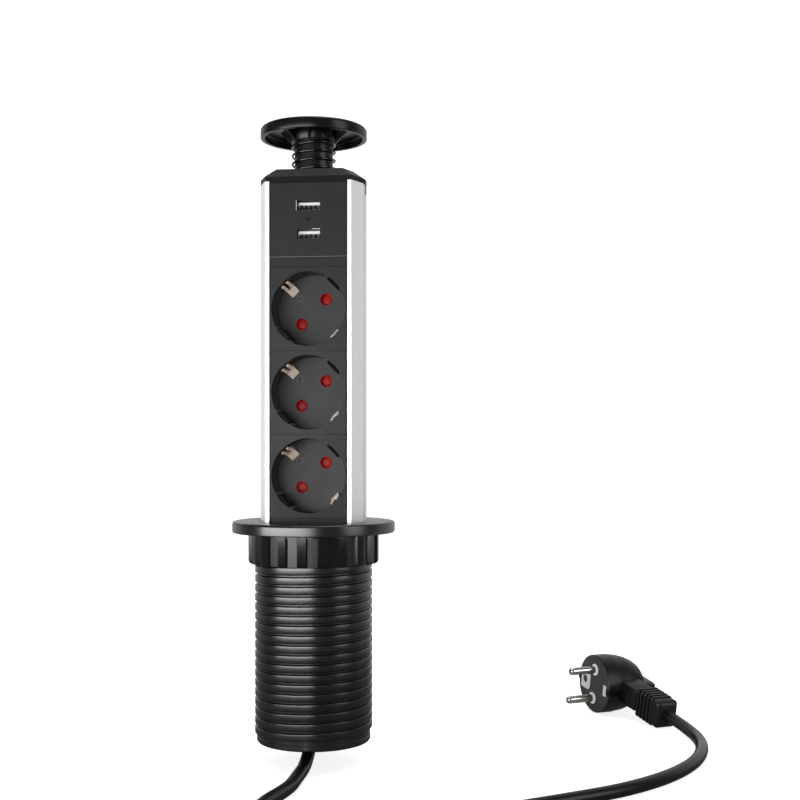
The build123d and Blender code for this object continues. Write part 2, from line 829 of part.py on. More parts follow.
gland_top = column_bottom + gland_nut_height
wire_places = (-wire_diameter, 0, wire_diameter)
supply_lead = (bar_bottom - gland_top) * wire_lead_share
with BuildPart() as supply_wires:
    for place, bar in zip(wire_places, (-bar_offset, 0, bar_offset)):
        start = (place, gland_place, gland_top)
        knee = (place, gland_place, gland_top + supply_lead)
        over = (bar, rear_face + busbar_thickness / 2, bar_bottom - supply_lead)
        finish = (bar, rear_face + busbar_thickness / 2, bar_bottom)
        add(wire_tube((start, knee, over, finish), wire_diameter, wire_diameter, 6))
keep(supply_wires.part, "supply_wires")

board_bottom = board_middle - board_height / 2
usb_lead = (board_bottom - bar_top) * 2 * wire_lead_share
with BuildPart() as usb_wires:
    for bar in (-bar_offset, bar_offset):
        start = (bar, rear_face + busbar_thickness / 2, bar_top)
        knee = (bar, rear_face + busbar_thickness / 2, bar_top + usb_lead)
        over = (bar, board_back - board_thickness / 2, board_bottom - usb_lead)
        finish = (bar, board_back - board_thickness / 2, board_bottom)
        add(wire_tube((start, knee, over, finish), wire_diameter, wire_diameter / 2, 6))
keep(usb_wires.part, "usb_wires")

# Cord gland in the bottom cap, its strain relief and its nut
gland_bottom = column_bottom - bottom_cap_height - gland_reach
gland_core = gland_radius - cap_plate
with BuildPart() as cable_gland:
    with BuildSketch(Plane.XZ):
        with BuildLine():
            under_cap = column_bottom - bottom_cap_height
            Polyline(
                (0, gland_top),
                (gland_core, gland_top),
                (gland_core, under_cap),
                (gland_radius, under_cap),
                (gland_radius, under_cap - cord_radius),
                (gland_end_radius, gland_bottom),
                (0, gland_bottom),
                close=True,
            )
        make_face()
    revolve(axis=Axis.Z)
gland = cable_gland.part.moved(Location((0, gland_place, 0)))
keep(gland, "cable_gland")

with BuildPart() as gland_nut:
    with BuildSketch(Plane.XY.offset(column_bottom)):
        with Locations((0, gland_place)):
            RegularPolygon(gland_nut_across / 2, 6)
            Circle(gland_core + fit_gap / 2, mode=Mode.SUBTRACT)
    extrude(amount=gland_nut_height)
keep(gland_nut.part, "gland_nut")

# The cord's route, chosen by hand. It leaves the gland, passes under the sleeve, runs to the
# coil in front and goes on to the plug. The coil holds the length that is put away.
lay_level = -121.5
tail_route = [
    (0, 9, -64.1),
    (0, 9, -87),
    (0, -2, -108),
    (0, -22, lay_level),
    (0, -46.5, lay_level),
]
front_route = [
    (0, -46.5, lay_level),
    (0, -68, lay_level),
    (-9, -100, lay_level),
    (-5, -132, lay_level),
    (-5, -165, lay_level),
]
lead_route = [
    (75, -165, -114),
    (75, -143, -114),
    (86, -115, lay_level),
    (107, -92, lay_level),
    (135, -73, lay_level),
    (164, -52, lay_level),
    (189, -24, lay_level),
    (206, 8, lay_level),
    (214, 42, lay_level),
]

# Plug, lying on its rim and the end of its strain relief
relief_end = neck_end + relief_fin_count * relief_fin_pitch + relief_collar_length
plug_tilt = asin(plug_diameter / 2 / hypot(relief_end, relief_collar / 2)) - atan2(relief_collar / 2, relief_end)
flat_heading = Vector(cos(radians(plug_heading)), sin(radians(plug_heading)), 0)
cord_way = flat_heading * cos(plug_tilt) + Vector(0, 0, -sin(plug_tilt))
pin_way = Vector(sin(radians(plug_heading)), -cos(radians(plug_heading)), 0)
plug_centre = Vector(plug_x, plug_y, surface_level + plug_diameter / 2)
plug_face = Plane(origin=plug_centre, x_dir=cord_way, z_dir=pin_way)
relief_point = plug_centre + pin_way * -neck_place + cord_way * relief_end
last_run = 3.75 * cord_diameter
lead_route += [tuple(relief_point + cord_way * last_run), tuple(relief_point)]


def cord_stretch(route, name):
    """A stretch of cord that isn't coiled, with its length and least radius printed."""
    radii = bend_radii(route)
    with BuildPart() as stretch:
        with BuildLine() as path:
            FilletPolyline(*route, radius=radii)
        run = path.wire()
        with BuildSketch(Plane(origin=run @ 0, z_dir=run % 0)):
            RegularPolygon(cord_radius, cord_sides)
        sweep(path=run)
    section = cord_sides / 2 * cord_radius**2 * sin(2 * pi / cord_sides)
    print(name, "length", round(run.length, 1), "radii", [round(r, 1) for r in radii])
    print(name, "volume over section times length", round(stretch.part.volume / section / run.length, 4))
    keep(stretch.part, name)
    return run.length


# The coil: half turns that draw in by half a step each, climb one layer, and open out again
cord_sides = 6
turn_step = 7.5
layer_step = 7.5
outer_turn = 40.5
climb_turn = 25.0
turns_in = 4
turns_out = 4
coil_start = front_route[-1]
coil_line = -172.0
with BuildPart() as cord_coil:
    with BuildLine() as coil_path:
        x, level = coil_start[0], lay_level
        Line(coil_start, (x, coil_line, level))
        side = 1
        radii = [outer_turn - turn_step / 2 * n for n in range(turns_in)]
        radii += [climb_turn] + [climb_turn + turn_step / 2 * (n + 1) for n in range(turns_out)]
        for place, radius in enumerate(radii):
            rise = layer_step if place == turns_in else 0
            across = x + side * radius
            nearer = (across, coil_line - side * hypot(radius, rise / 2), level + rise / 2)
            first = TangentArc((x, coil_line, level), nearer, tangent=(0, -side, 0))
            x += 2 * side * radius
            TangentArc(nearer, (x, coil_line, level + rise), tangent=first % 1)
            level += rise
            side = -side
        Line((x, coil_line, level), lead_route[0])
    with BuildSketch(Plane(origin=coil_start, z_dir=(0, -1, 0))):
        RegularPolygon(cord_radius, cord_sides)
    sweep(path=coil_path.wire())
keep(cord_coil.part, "cord_coil")


def least_gap(path, thickness, samples, reach):
    """The least distance between a tube's turns, measured on points along its path."""
    points = [path @ (n / samples) for n in range(samples + 1)]
    step = path.length / samples
    skip = int(reach / step)
    least = min(
        (points[a] - points[b]).length for a in range(len(points)) for b in range(a + skip, len(points))
    )
    return least - thickness


coil_wire = coil_path.wire()
print("coil length", round(coil_wire.length, 1), "gap", round(least_gap(coil_wire, cord_diameter, 500, coil_skip), 2))
spring_wire_path = spring_path.wire()
print("spring gap", round(least_gap(spring_wire_path, spring_wire, 400, spring_skip), 2))
total = coil_wire.length
total += cord_stretch(tail_route, "cord_tail")
total += cord_stretch(front_route, "cord_front")
total += cord_stretch(lead_route, "cord_lead")
print("cord from gland to plug", round(total, 1))

with BuildPart() as plug_body:
    with BuildSketch(plug_face):
        Circle(plug_diameter / 2)
    extrude(amount=-plug_rim_depth)
    with BuildSketch(plug_face.offset(-plug_rim_depth)):
        Circle(plug_diameter / 2)
    with BuildSketch(plug_face.offset(-plug_body_depth)):
        Ellipse(plug_diameter / 2 - neck_width / 5, plug_back_width / 2)
    loft()
    with BuildSketch(plug_face.offset(-plug_body_depth + cap_plate)):
        SlotOverall(plug_grip_length, plug_grip_width)
    extrude(amount=-plug_grip_depth + plug_body_depth - cap_plate)
    neck_plane = Plane(origin=plug_centre + pin_way * -neck_place, x_dir=pin_way, z_dir=cord_way)
    with BuildSketch(neck_plane):
        RectangleRounded(neck_depth, neck_width, neck_width / 6)
    extrude(amount=neck_end)
    with BuildSketch(plug_face):
        with PolarLocations(plug_diameter / 2 - earth_notch_depth, 2):
            Rectangle(2 * earth_notch_depth, earth_notch_width, align=(Align.MIN, Align.CENTER))
        with Locations((-plug_diameter / 2 + earth_notch_depth, 0)):
            Rectangle(earth_plate_length, earth_plate_width, align=(Align.MIN, Align.CENTER))
        with Locations((plug_diameter / 2 - earth_notch_depth, 0)):
            Rectangle(earth_small_length, earth_plate_width * 0.6, align=(Align.MAX, Align.CENTER))
    extrude(amount=-earth_plate_thickness, mode=Mode.SUBTRACT)
    with BuildSketch(plug_face):
        with PolarLocations(plug_diameter / 2 - earth_notch_depth, 2):
            Rectangle(2 * earth_notch_depth, earth_notch_width, align=(Align.MIN, Align.CENTER))
    extrude(amount=-plug_rim_depth, mode=Mode.SUBTRACT)
keep(plug_body.part, "plug_body")

with BuildPart() as plug_pins:
    with BuildSketch(plug_face):
        with PolarLocations(pin_distance / 2, 2, start_angle=90):
            Circle(plug_pin_radius)
    extrude(amount=plug_pin_length)
    chamfer(plug_pins.faces().sort_by(Axis(plug_centre, pin_way))[-2:].edges(), plug_pin_radius * 0.45)
    with BuildSketch(plug_face):
        with PolarLocations(pin_distance / 2, 2, start_angle=90):
            Circle(plug_ring_radius)
    extrude(amount=plug_ring_height)
keep(plug_pins.part, "plug_pins")

with BuildPart() as plug_earth_strip:
    edge = plug_diameter / 2 - earth_notch_depth
    with BuildSketch(plug_face.offset(-earth_plate_thickness)):
        with Locations((-edge, 0)):
            Rectangle(
                earth_plate_length - fit_gap,
                earth_plate_width - 2 * fit_gap,
                align=(Align.MIN, Align.CENTER),
            )
        with Locations((edge, 0)):
            Rectangle(
                earth_small_length - fit_gap,
                earth_plate_width * 0.6 - 2 * fit_gap,
                align=(Align.MAX, Align.CENTER),
            )
        with Locations((-edge + earth_plate_length * 0.42, 0)):
            Ellipse(earth_plate_length * 0.2, earth_plate_width * 0.16, mode=Mode.SUBTRACT)
    extrude(amount=earth_plate_thickness)
    with BuildSketch(plug_face):
        with PolarLocations(edge, 2):
            Rectangle(
                earth_plate_thickness, earth_notch_width - 2 * fit_gap, align=(Align.MIN, Align.CENTER)
            )
    extrude(amount=-plug_rim_depth)
keep(plug_earth_strip.part, "plug_earth_strip")

with BuildPart() as plug_strain_relief:
    relief_start = neck_plane.offset(neck_end)
    with BuildSketch(relief_start):
        RectangleRounded(relief_core, relief_core, relief_core / 4)
    extrude(amount=relief_end - neck_end)
    for fin in range(relief_fin_count):
        gap = relief_fin_pitch - relief_fin_thickness
        with BuildSketch(neck_plane.offset(neck_end + fin * relief_fin_pitch + gap)):
            RectangleRounded(relief_fin_depth, relief_fin, relief_core / 4)
        extrude(amount=relief_fin_thickness)
    with BuildSketch(neck_plane.offset(relief_end - relief_collar_length)):
        RectangleRounded(relief_fin_depth, relief_collar, relief_core / 3)
    extrude(amount=relief_collar_length)
keep(plug_strain_relief.part, "plug_strain_relief")
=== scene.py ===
from math import asin, atan2, cos, hypot, pi, radians, sin

import bmesh
import bpy
from mathutils import Matrix, Vector

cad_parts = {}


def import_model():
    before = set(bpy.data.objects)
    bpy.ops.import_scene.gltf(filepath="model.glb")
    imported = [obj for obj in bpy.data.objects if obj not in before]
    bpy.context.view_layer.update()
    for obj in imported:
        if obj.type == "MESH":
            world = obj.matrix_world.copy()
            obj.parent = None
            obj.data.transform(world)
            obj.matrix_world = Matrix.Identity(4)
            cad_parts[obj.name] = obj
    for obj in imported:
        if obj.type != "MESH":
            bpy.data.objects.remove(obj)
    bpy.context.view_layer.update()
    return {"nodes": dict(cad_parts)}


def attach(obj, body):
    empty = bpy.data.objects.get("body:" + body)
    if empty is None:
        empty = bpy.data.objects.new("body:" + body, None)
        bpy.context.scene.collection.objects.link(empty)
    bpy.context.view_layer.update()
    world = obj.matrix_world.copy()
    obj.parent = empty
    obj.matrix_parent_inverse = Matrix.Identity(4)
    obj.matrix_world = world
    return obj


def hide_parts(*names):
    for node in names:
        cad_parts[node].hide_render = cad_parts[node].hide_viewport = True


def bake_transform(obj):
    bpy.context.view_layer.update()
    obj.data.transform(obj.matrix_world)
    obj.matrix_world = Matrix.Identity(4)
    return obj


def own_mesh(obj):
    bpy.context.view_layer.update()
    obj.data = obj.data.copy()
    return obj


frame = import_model()
MM = 0.001

# sizes in mm, as in the part's source: x to the right, y to the back, z up from the flange's underside
TABLE = -125.0
FLANGE_RADIUS, FLANGE_TOP = 44.2, 6.0
SLEEVE_CORE, SLEEVE_FOOT = 30.6, -113.0
THREAD_PITCH, THREAD_ROOT, THREAD_CREST = 5.1, 30.4, 31.85
NUT_RIBS, NUT_VALLEY, NUT_BORE, NUT_FOOT = 20, 33.9, 32.15, -16.9
PLATE_FRONT = -16.7
SOCKET_LEVELS = (30.8, 75.3, 119.8)
SOCKET_FLOOR = 0.8
PIN_REACH = 9.5
USB_LEVELS = {"upper": 174.9, "lower": 159.6}
LED_LEVEL = 167.25
CAP_RADIUS, CAP_TOP, CAP_FOOT = 28.9, 219.5, 213.5
SPRING_RADIUS, SPRING_WIRE, SPRING_TURNS = 11.55, 0.59, 4
CORD_RADIUS = 3.5

# the photograph's camera: pixels, then mm and degrees
IMAGE_SIDE, FOCAL, HORIZON = 800, 1245, 443.5
CAMERA_AT, CAMERA_TURN, SENSOR = (122.4, -669.6, 48), 6.4, 36

scene = bpy.context.scene
scene.view_settings.view_transform = "Standard"


def camera():
    data = bpy.data.cameras.new("camera")
    obj = bpy.data.objects.new("camera", data)
    scene.collection.objects.link(obj)
    scene.camera = obj
    obj.location = [v * MM for v in CAMERA_AT]
    obj.rotation_euler = (radians(90), 0, radians(CAMERA_TURN))
    data.sensor_width = SENSOR
    data.lens = SENSOR * FOCAL / IMAGE_SIDE
    data.shift_y = (HORIZON - IMAGE_SIDE / 2) / IMAGE_SIDE
    data.clip_start = 0.01
    data.clip_end = 60


def lamp(name, place, target, size, power):
    """A softbox of a width and height in metres, turned to a target."""
    data = bpy.data.lights.new(name, "AREA")
    data.energy = power
    data.shape = "RECTANGLE"
    data.size, data.size_y = size
    obj = bpy.data.objects.new(name, data)
    scene.collection.objects.link(obj)
    obj.location = place
    way = Vector(target) - Vector(place)
    obj.rotation_euler = way.to_track_quat("-Z", "Y").to_euler()


camera()
lamp("key", (-0.53, -0.96, 0.03), (0, 0, 0.03), (1.6, 0.28), 11)
lamp("fill", (1.7, -0.7, 0.5), (0, 0, 0.03), (0.9, 1.4), 8)
lamp("top", (0.1, 0.2, 1.9), (0, 0, 0.1), (1.2, 1.2), 12)


# shader helpers
WHITE = (1, 1, 1, 1)
MIX_USUAL, MIX_SPECIAL, MIX_RESULT = 6, 7, 2


def node_new(tree, kind, **values):
    node = tree.nodes.new(kind)
    for key, value in values.items():
        setattr(node, key, value)
    return node


def ramp(tree, factor, low, high, at=(0.35, 0.65)):
    node = node_new(tree, "ShaderNodeValToRGB")
    for stop, place, color in zip(node.color_ramp.elements, at, (low, high)):
        stop.position = place
        stop.color = color
    tree.links.new(factor, node.inputs["Fac"])
    return node.outputs["Color"]


def grey(v):
    return (v, v, v, 1)


def place_along(tree, space, axis):
    """The place on an axis of one of the texture spaces."""
    coords = node_new(tree, "ShaderNodeTexCoord")
    parts = node_new(tree, "ShaderNodeSeparateXYZ")
    tree.links.new(coords.outputs[space], parts.inputs[0])
    return parts.outputs[axis]


def seen_rays(tree):
    """1 for what is seen, straight, in a gloss or through glass, and 0 for what lights the object."""
    path = node_new(tree, "ShaderNodeLightPath")
    last = path.outputs["Is Camera Ray"]
    for kind in ("Is Glossy Ray", "Is Transmission Ray"):
        either = node_new(tree, "ShaderNodeMath", operation="MAXIMUM")
        tree.links.new(last, either.inputs[0])
        tree.links.new(path.outputs[kind], either.inputs[1])
        last = either.outputs[0]
    return last


def by_ray(tree, kind, usual, special):
    """The usual colour, and the special one for a kind of ray. Either is a colour or an output."""
    path = node_new(tree, "ShaderNodeLightPath")
    pick = node_new(tree, "ShaderNodeMix", data_type="RGBA")
    tree.links.new(path.outputs[kind], pick.inputs["Factor"])
    for place, color in ((MIX_USUAL, usual), (MIX_SPECIAL, special)):
        if isinstance(color, bpy.types.NodeSocket):
            tree.links.new(color, pick.inputs[place])
        else:
            pick.inputs[place].default_value = color
    return pick.outputs[MIX_RESULT]


# world and floor: white to the camera, and in a gloss a room that is dim on the camera's side. The room's
# light is all that the world gives the object, and the floor's glow is only seen
ROOM_DIM, ROOM_PALE, ROOM_LIGHT = 0.1, 0.6, 0.32
FLOOR_COLOR, FLOOR_GLOW = 0.85, 0.75
GLOSS_COLOR, GLOSS_GLOW = 0.85, 0.8


def world():
    studio = bpy.data.worlds.new("studio")
    scene.world = studio
    studio.use_nodes = True
    tree = studio.node_tree
    tree.nodes.clear()
    out = node_new(tree, "ShaderNodeOutputWorld")
    seen = node_new(tree, "ShaderNodeBackground")
    seen.inputs["Strength"].default_value = 1.0
    room = ramp(tree, place_along(tree, "Generated", "Y"), grey(ROOM_DIM), grey(ROOM_PALE), (0.3, 0.8))
    tree.links.new(by_ray(tree, "Is Camera Ray", room, WHITE), seen.inputs["Color"])
    light = node_new(tree, "ShaderNodeBackground")
    light.inputs["Color"].default_value = WHITE
    light.inputs["Strength"].default_value = ROOM_LIGHT
    mix = node_new(tree, "ShaderNodeMixShader")
    tree.links.new(seen_rays(tree), mix.inputs["Fac"])
    tree.links.new(light.outputs[0], mix.inputs[1])
    tree.links.new(seen.outputs[0], mix.inputs[2])
    tree.links.new(mix.outputs[0], out.inputs["Surface"])


def floor_material():
    mat = bpy.data.materials.new("floor_pale")
    mat.use_nodes = True
    tree = mat.node_tree
    tree.nodes.clear()
    out = node_new(tree, "ShaderNodeOutputMaterial")
    body = node_new(tree, "ShaderNodeBsdfDiffuse")
    glow = node_new(tree, "ShaderNodeEmission")
    depth = place_along(tree, "Object", "Y")
    for shader, color, gloss in ((body, FLOOR_COLOR, GLOSS_COLOR), (glow, 1.0, GLOSS_GLOW)):
        room = ramp(tree, depth, grey(ROOM_DIM * gloss), grey(ROOM_PALE * gloss), (0.0, 0.8))
        tree.links.new(by_ray(tree, "Is Glossy Ray", grey(color), room), shader.inputs["Color"])
    scale = node_new(tree, "ShaderNodeMath", operation="MULTIPLY")
    scale.inputs[1].default_value = FLOOR_GLOW
    tree.links.new(seen_rays(tree), scale.inputs[0])
    tree.links.new(scale.outputs[0], glow.inputs["Strength"])
    add = node_new(tree, "ShaderNodeAddShader")
    tree.links.new(body.outputs[0], add.inputs[0])
    tree.links.new(glow.outputs[0], add.inputs[1])
    tree.links.new(add.outputs[0], out.inputs["Surface"])
    return mat


def floor():
    """A table top that curves up into a backdrop, in metres, a hair below the cord."""
    z = TABLE * MM - 0.0002
    near, far, sweep, half, top = -4.0, 1.6, 0.8, 5.0, 4.0
    rows = [(near, z), (far, z)]
    rows += [(far + sweep * sin(radians(a)), z + sweep - sweep * cos(radians(a))) for a in range(10, 91, 10)]
    rows.append((far + sweep, top))
    verts = [(x, y, h) for y, h in rows for x in (-half, half)]
    faces = [(2 * i, 2 * i + 1, 2 * i + 3, 2 * i + 2) for i in range(len(rows) - 1)]
    mesh = bpy.data.meshes.new("floor")
    mesh.from_pydata(verts, [], faces)
    for face in mesh.polygons:
        face.use_smooth = True
    obj = bpy.data.objects.new("floor", mesh)
    scene.collection.objects.link(obj)
    mesh.materials.append(floor_material())


world()
floor()


# materials: depths are in metres
GRAIN_DEPTH, WAVE_DEPTH, LINE_DEPTH = 0.00003, 0.0002, 0.00002


def principled(name, color, rough, metal=0.0, spec=0.5):
    mat = bpy.data.materials.new(name)
    mat.use_nodes = True
    tree = mat.node_tree
    shader = tree.nodes["Principled BSDF"]
    shader.inputs["Base Color"].default_value = (*color, 1)
    shader.inputs["Roughness"].default_value = rough
    shader.inputs["Metallic"].default_value = metal
    shader.inputs["Specular IOR Level"].default_value = spec
    return mat, tree, shader


def noise(tree, scale, detail=3.0, rough=0.5, stretch=None):
    coords = node_new(tree, "ShaderNodeTexCoord")
    out = coords.outputs["Object"]
    if stretch:
        mapping = node_new(tree, "ShaderNodeMapping")
        mapping.inputs["Scale"].default_value = stretch
        tree.links.new(out, mapping.inputs["Vector"])
        out = mapping.outputs["Vector"]
    tex = node_new(tree, "ShaderNodeTexNoise")
    tex.inputs["Scale"].default_value = scale
    tex.inputs["Detail"].default_value = detail
    tex.inputs["Roughness"].default_value = rough
    tree.links.new(out, tex.inputs["Vector"])
    return tex.outputs["Fac"]


def tinted(color, share):
    return tuple(min(1, c * share) for c in color) + (1,)


def bumped(tree, shader, heights):
    """Join height fields, each with its strength and depth in metres, into the shader's normal."""
    last = None
    for factor, strength, depth in heights:
        bump = node_new(tree, "ShaderNodeBump")
        bump.inputs["Strength"].default_value = strength
        bump.inputs["Distance"].default_value = depth
        tree.links.new(factor, bump.inputs["Height"])
        if last:
            tree.links.new(last, bump.inputs["Normal"])
        last = bump.outputs["Normal"]
    tree.links.new(last, shader.inputs["Normal"])


def moulded(name, color, rough, grain=900, strength=0.25, vary=0.12, spec=0.5):
    """Moulded plastic: fine spark grain, faint cloudiness in colour and gloss, and flow marks."""
    mat, tree, shader = principled(name, color, rough, spec=spec)
    cloud = noise(tree, 60, 4, 0.6)
    shade = ramp(tree, cloud, tinted(color, 1 - vary), tinted(color, 1 + vary))
    tree.links.new(shade, shader.inputs["Base Color"])
    smear = noise(tree, 22, 5, 0.65, (1, 1, 0.5))
    gloss = ramp(tree, smear, grey(rough * 0.86), grey(min(1, rough * 1.18)))
    tree.links.new(gloss, shader.inputs["Roughness"])
    fine = noise(tree, grain, 2, 0.5)
    wavy = noise(tree, 45, 2, 0.4)
    bumped(tree, shader, [(wavy, 0.12, WAVE_DEPTH), (fine, strength, GRAIN_DEPTH)])
    return mat


def brushed(name, color, rough, stretch, scale, vary=0.06, metal=1.0):
    """Metal with fine lines along one direction."""
    mat, tree, shader = principled(name, color, rough, metal=metal)
    lines = noise(tree, scale, 3, 0.6, stretch)
    shade = ramp(tree, lines, tinted(color, 1 - vary), tinted(color, 1 + vary))
    tree.links.new(shade, shader.inputs["Base Color"])
    gloss = ramp(tree, lines, grey(rough * 0.85), grey(min(1, rough * 1.2)))
    tree.links.new(gloss, shader.inputs["Roughness"])
    bumped(tree, shader, [(lines, 0.2, LINE_DEPTH)])
    return mat


def paint_shade_along(mat, axis, low, high, share):
    """Paint shade: draw the colour down towards the lower of two places on an axis, in mm."""
    tree = mat.node_tree
    shader = tree.nodes["Principled BSDF"]
    base = shader.inputs["Base Color"].links[0].from_socket
    level = node_new(tree, "ShaderNodeMapRange")
    for key, value in (("From Min", low * MM), ("From Max", high * MM), ("To Min", share), ("To Max", 1.0)):
        level.inputs[key].default_value = value
    tree.links.new(place_along(tree, "Object", axis), level.inputs["Value"])
    scale = node_new(tree, "ShaderNodeVectorMath", operation="SCALE")
    tree.links.new(base, scale.inputs[0])
    tree.links.new(level.outputs["Result"], scale.inputs["Scale"])
    tree.links.new(scale.outputs["Vector"], shader.inputs["Base Color"])


JET = (0.004, 0.004, 0.0045)
M = {}
M["black"] = moulded("black_satin", JET, 0.30, spec=0.4)
M["black_cap"] = moulded("black_cap", JET, 0.26, grain=1300, strength=0.15, spec=0.35)
M["thread"] = moulded("black_thread", JET, 0.26, grain=700, strength=0.3, spec=0.95)
M["nut"] = moulded("black_nut", JET, 0.22)
M["fascia"] = moulded("anthracite_face", (0.021, 0.022, 0.024), 0.40, grain=1500, strength=0.4, vary=0.08,
                      spec=0.16)
M["insert"] = moulded("anthracite_insert", (0.046, 0.046, 0.048), 0.40, grain=1200, vary=0.1, spec=0.2)
# painted shade: the insert's front face and the front of its recess walls are drawn darker than the recess
# floor, for the light that falls on the floor
paint_shade_along(M["insert"], "Y", PLATE_FRONT, -6.0, 0.42)
# painted light: the end cap is a pale grey that stands in for the highlight on its bevel, and below 190.2 mm
# its lip is drawn near black as painted shade
M["end_cap"] = moulded("end_cap", (0.05, 0.05, 0.053), 0.36, grain=1300, strength=0.3, spec=0.2)
paint_shade_along(M["end_cap"], "Z", 190.2, 190.9, 0.08)
M["guide"] = moulded("black_guide", (0.003, 0.003, 0.0035), 0.5, spec=0.2)
# painted highlight: a pale grey for edges of the black plastic that catch the light, on the fascia's foot,
# the rings on the socket floors and the ramps beside the guide shoes
M["edge"] = moulded("pale_edge_highlight", (0.10, 0.10, 0.11), 0.35, vary=0.1)
M["shutter"] = moulded("red_shutter", (0.36, 0.006, 0.004), 0.32, vary=0.15, spec=0.12)
M["white_part"] = moulded("white_housing", (0.75, 0.74, 0.70), 0.5, vary=0.04)
# painted shade: the comb is the white tongue plastic, drawn grey for the shade it lies in
M["comb"] = moulded("tongue_shade", (0.12, 0.12, 0.115), 0.4)
M["tongue"] = moulded("white_tongue", (0.98, 0.98, 0.96), 0.4, vary=0.01)
M["lens"] = moulded("led_lens", (0.01, 0.01, 0.012), 0.15, vary=0.05)
M["cord"] = moulded("cord_pvc", (0.005, 0.005, 0.0055), 0.30, grain=500, strength=0.15, vary=0.1, spec=0.4)
M["plug"] = moulded("plug_pvc", (0.006, 0.006, 0.0065), 0.36, grain=1100, strength=0.4, spec=0.4)
M["plug_face"] = moulded("plug_face", (0.045, 0.045, 0.049), 0.5, grain=1100, strength=0.4, spec=0.3)
# painted highlight: the pins' collars are drawn white for the glint round each pin's base
M["collar"] = moulded("pin_collar_painted_highlight", (0.86, 0.86, 0.84), 0.35, vary=0.02)
M["rubber"] = moulded("seal_rubber", (0.012, 0.012, 0.012), 0.75)
M["sheet"] = moulded("insulating_sheet", (0.72, 0.68, 0.55), 0.55, vary=0.05)
M["board"] = moulded("resin_board", (0.02, 0.16, 0.07), 0.4)
M["winding"] = moulded("taped_winding", (0.55, 0.42, 0.06), 0.45)
M["wire"] = moulded("wire_cover", (0.25, 0.18, 0.12), 0.4)
M["anodised"] = brushed("anodised", (0.95, 0.96, 0.97), 0.34, (1, 1, 0.012), 900, vary=0.04, metal=0.4)
M["nickel"] = brushed("nickel", (0.72, 0.70, 0.66), 0.16, (1, 1, 0.2), 500)
M["steel"] = brushed("spring_wire", (0.10, 0.10, 0.105), 0.16, (1, 1, 1), 1200)
M["zinc"] = brushed("zinc_steel", (0.55, 0.55, 0.56), 0.3, (1, 1, 1), 900)
M["copper"] = brushed("copper_clip", (1.0, 0.80, 0.66), 0.36, (1, 0.1, 1), 900, metal=0.15)
M["plate"] = brushed("plate_metal", (0.92, 0.91, 0.88), 0.34, (1, 0.1, 1), 900, metal=0.5)
M["brass"] = brushed("contact_brass", (0.80, 0.62, 0.30), 0.3, (1, 0.1, 1), 900)

NODE_LOOK = {
    "flange_seal": "rubber", "slip_washer": "black", "ring_nut": "nut", "column_profile": "anodised",
    "top_end_cap": "end_cap", "bottom_end_cap": "black", "top_screws": "zinc", "bottom_screws": "zinc",
    "usb_fascia": "fascia", "spacer_strip": "fascia", "lower_blank": "fascia", "busbar_line": "brass",
    "busbar_neutral": "brass", "busbar_earth": "brass", "rear_insulator": "sheet",
    "usb_port_upper": "nickel", "usb_port_lower": "nickel", "usb_tongues": "tongue", "usb_board": "board",
    "usb_converter": "winding", "led_lens": "lens", "supply_wires": "wire", "usb_wires": "wire",
    "cable_gland": "plug", "gland_nut": "black", "cap_disc": "black_cap", "cap_stem": "black",
    "stem_retainer": "zinc", "cap_spring": "steel", "mounting_sleeve": "thread", "plug_body": "plug",
    "plug_pins": "nickel", "plug_earth_strip": "plate", "plug_strain_relief": "plug",
}
SOCKET_LOOK = {
    "socket_insert": "insert", "shutter": "shutter", "earth_clip": "copper", "pin_contacts": "brass",
    "socket_back": "white_part",
}


def paint(node, key):
    """Give a CAD node its material."""
    obj = frame["nodes"][node]
    if not obj.material_slots:
        obj.data.materials.append(M[key])
    for place in obj.material_slots:
        place.material = M[key]


for node, key in NODE_LOOK.items():
    paint(node, key)
for node, key in SOCKET_LOOK.items():
    for n in range(1, len(SOCKET_LEVELS) + 1):
        paint(f"{node}_{n}", key)


# mesh helpers: a mesh is its vertices in metres and its faces
def piece(name, mesh, key, body, slot, smooth=True, bevel=0, angle=35):
    """Make a piece that rides on a body. Its edges past the angle are sharp, or bevelled by some mm."""
    verts, faces = mesh
    data = bpy.data.meshes.new(name)
    data.from_pydata([tuple(v) for v in verts], [], faces)
    data.validate()
    work = bmesh.new()
    work.from_mesh(data)
    bmesh.ops.remove_doubles(work, verts=work.verts, dist=1e-6)
    bmesh.ops.dissolve_degenerate(work, edges=work.edges, dist=1e-7)
    bmesh.ops.recalc_face_normals(work, faces=work.faces)
    work.to_mesh(data)
    work.free()
    obj = bpy.data.objects.new(name, data)
    scene.collection.objects.link(obj)
    data.materials.append(M[key])
    if smooth:
        for face in data.polygons:
            face.use_smooth = True
        if not bevel:
            data.set_sharp_from_angle(angle=radians(angle))
    if bevel:
        mod = obj.modifiers.new("edges", "BEVEL")
        mod.width = bevel * MM
        mod.segments = 2
        mod.limit_method = "ANGLE"
        mod.angle_limit = radians(angle)
        mod.harden_normals = True
    if body:
        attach(obj, body)
    return obj


def joined(*meshes):
    """Several meshes as one."""
    verts, faces = [], []
    for v, f in meshes:
        base = len(verts)
        verts += v
        faces += [tuple(i + base for i in face) for face in f]
    return verts, faces


def lathe(points, count=96, origin=(0, 0, 0), turn=None):
    """Turn a closed outline of (radius, height) points in mm about a vertical or turned axis."""
    base = Vector(origin)
    verts, faces = [], []
    k = len(points)
    for i in range(count):
        a = 2 * pi * i / count
        for r, z in points:
            v = Vector((r * cos(a), r * sin(a), z)) * MM
            verts.append((turn @ v if turn else v) + base)
    for i in range(count):
        j = (i + 1) % count
        for p in range(k):
            q = (p + 1) % k
            faces.append((i * k + p, j * k + p, j * k + q, i * k + q))
    return verts, faces


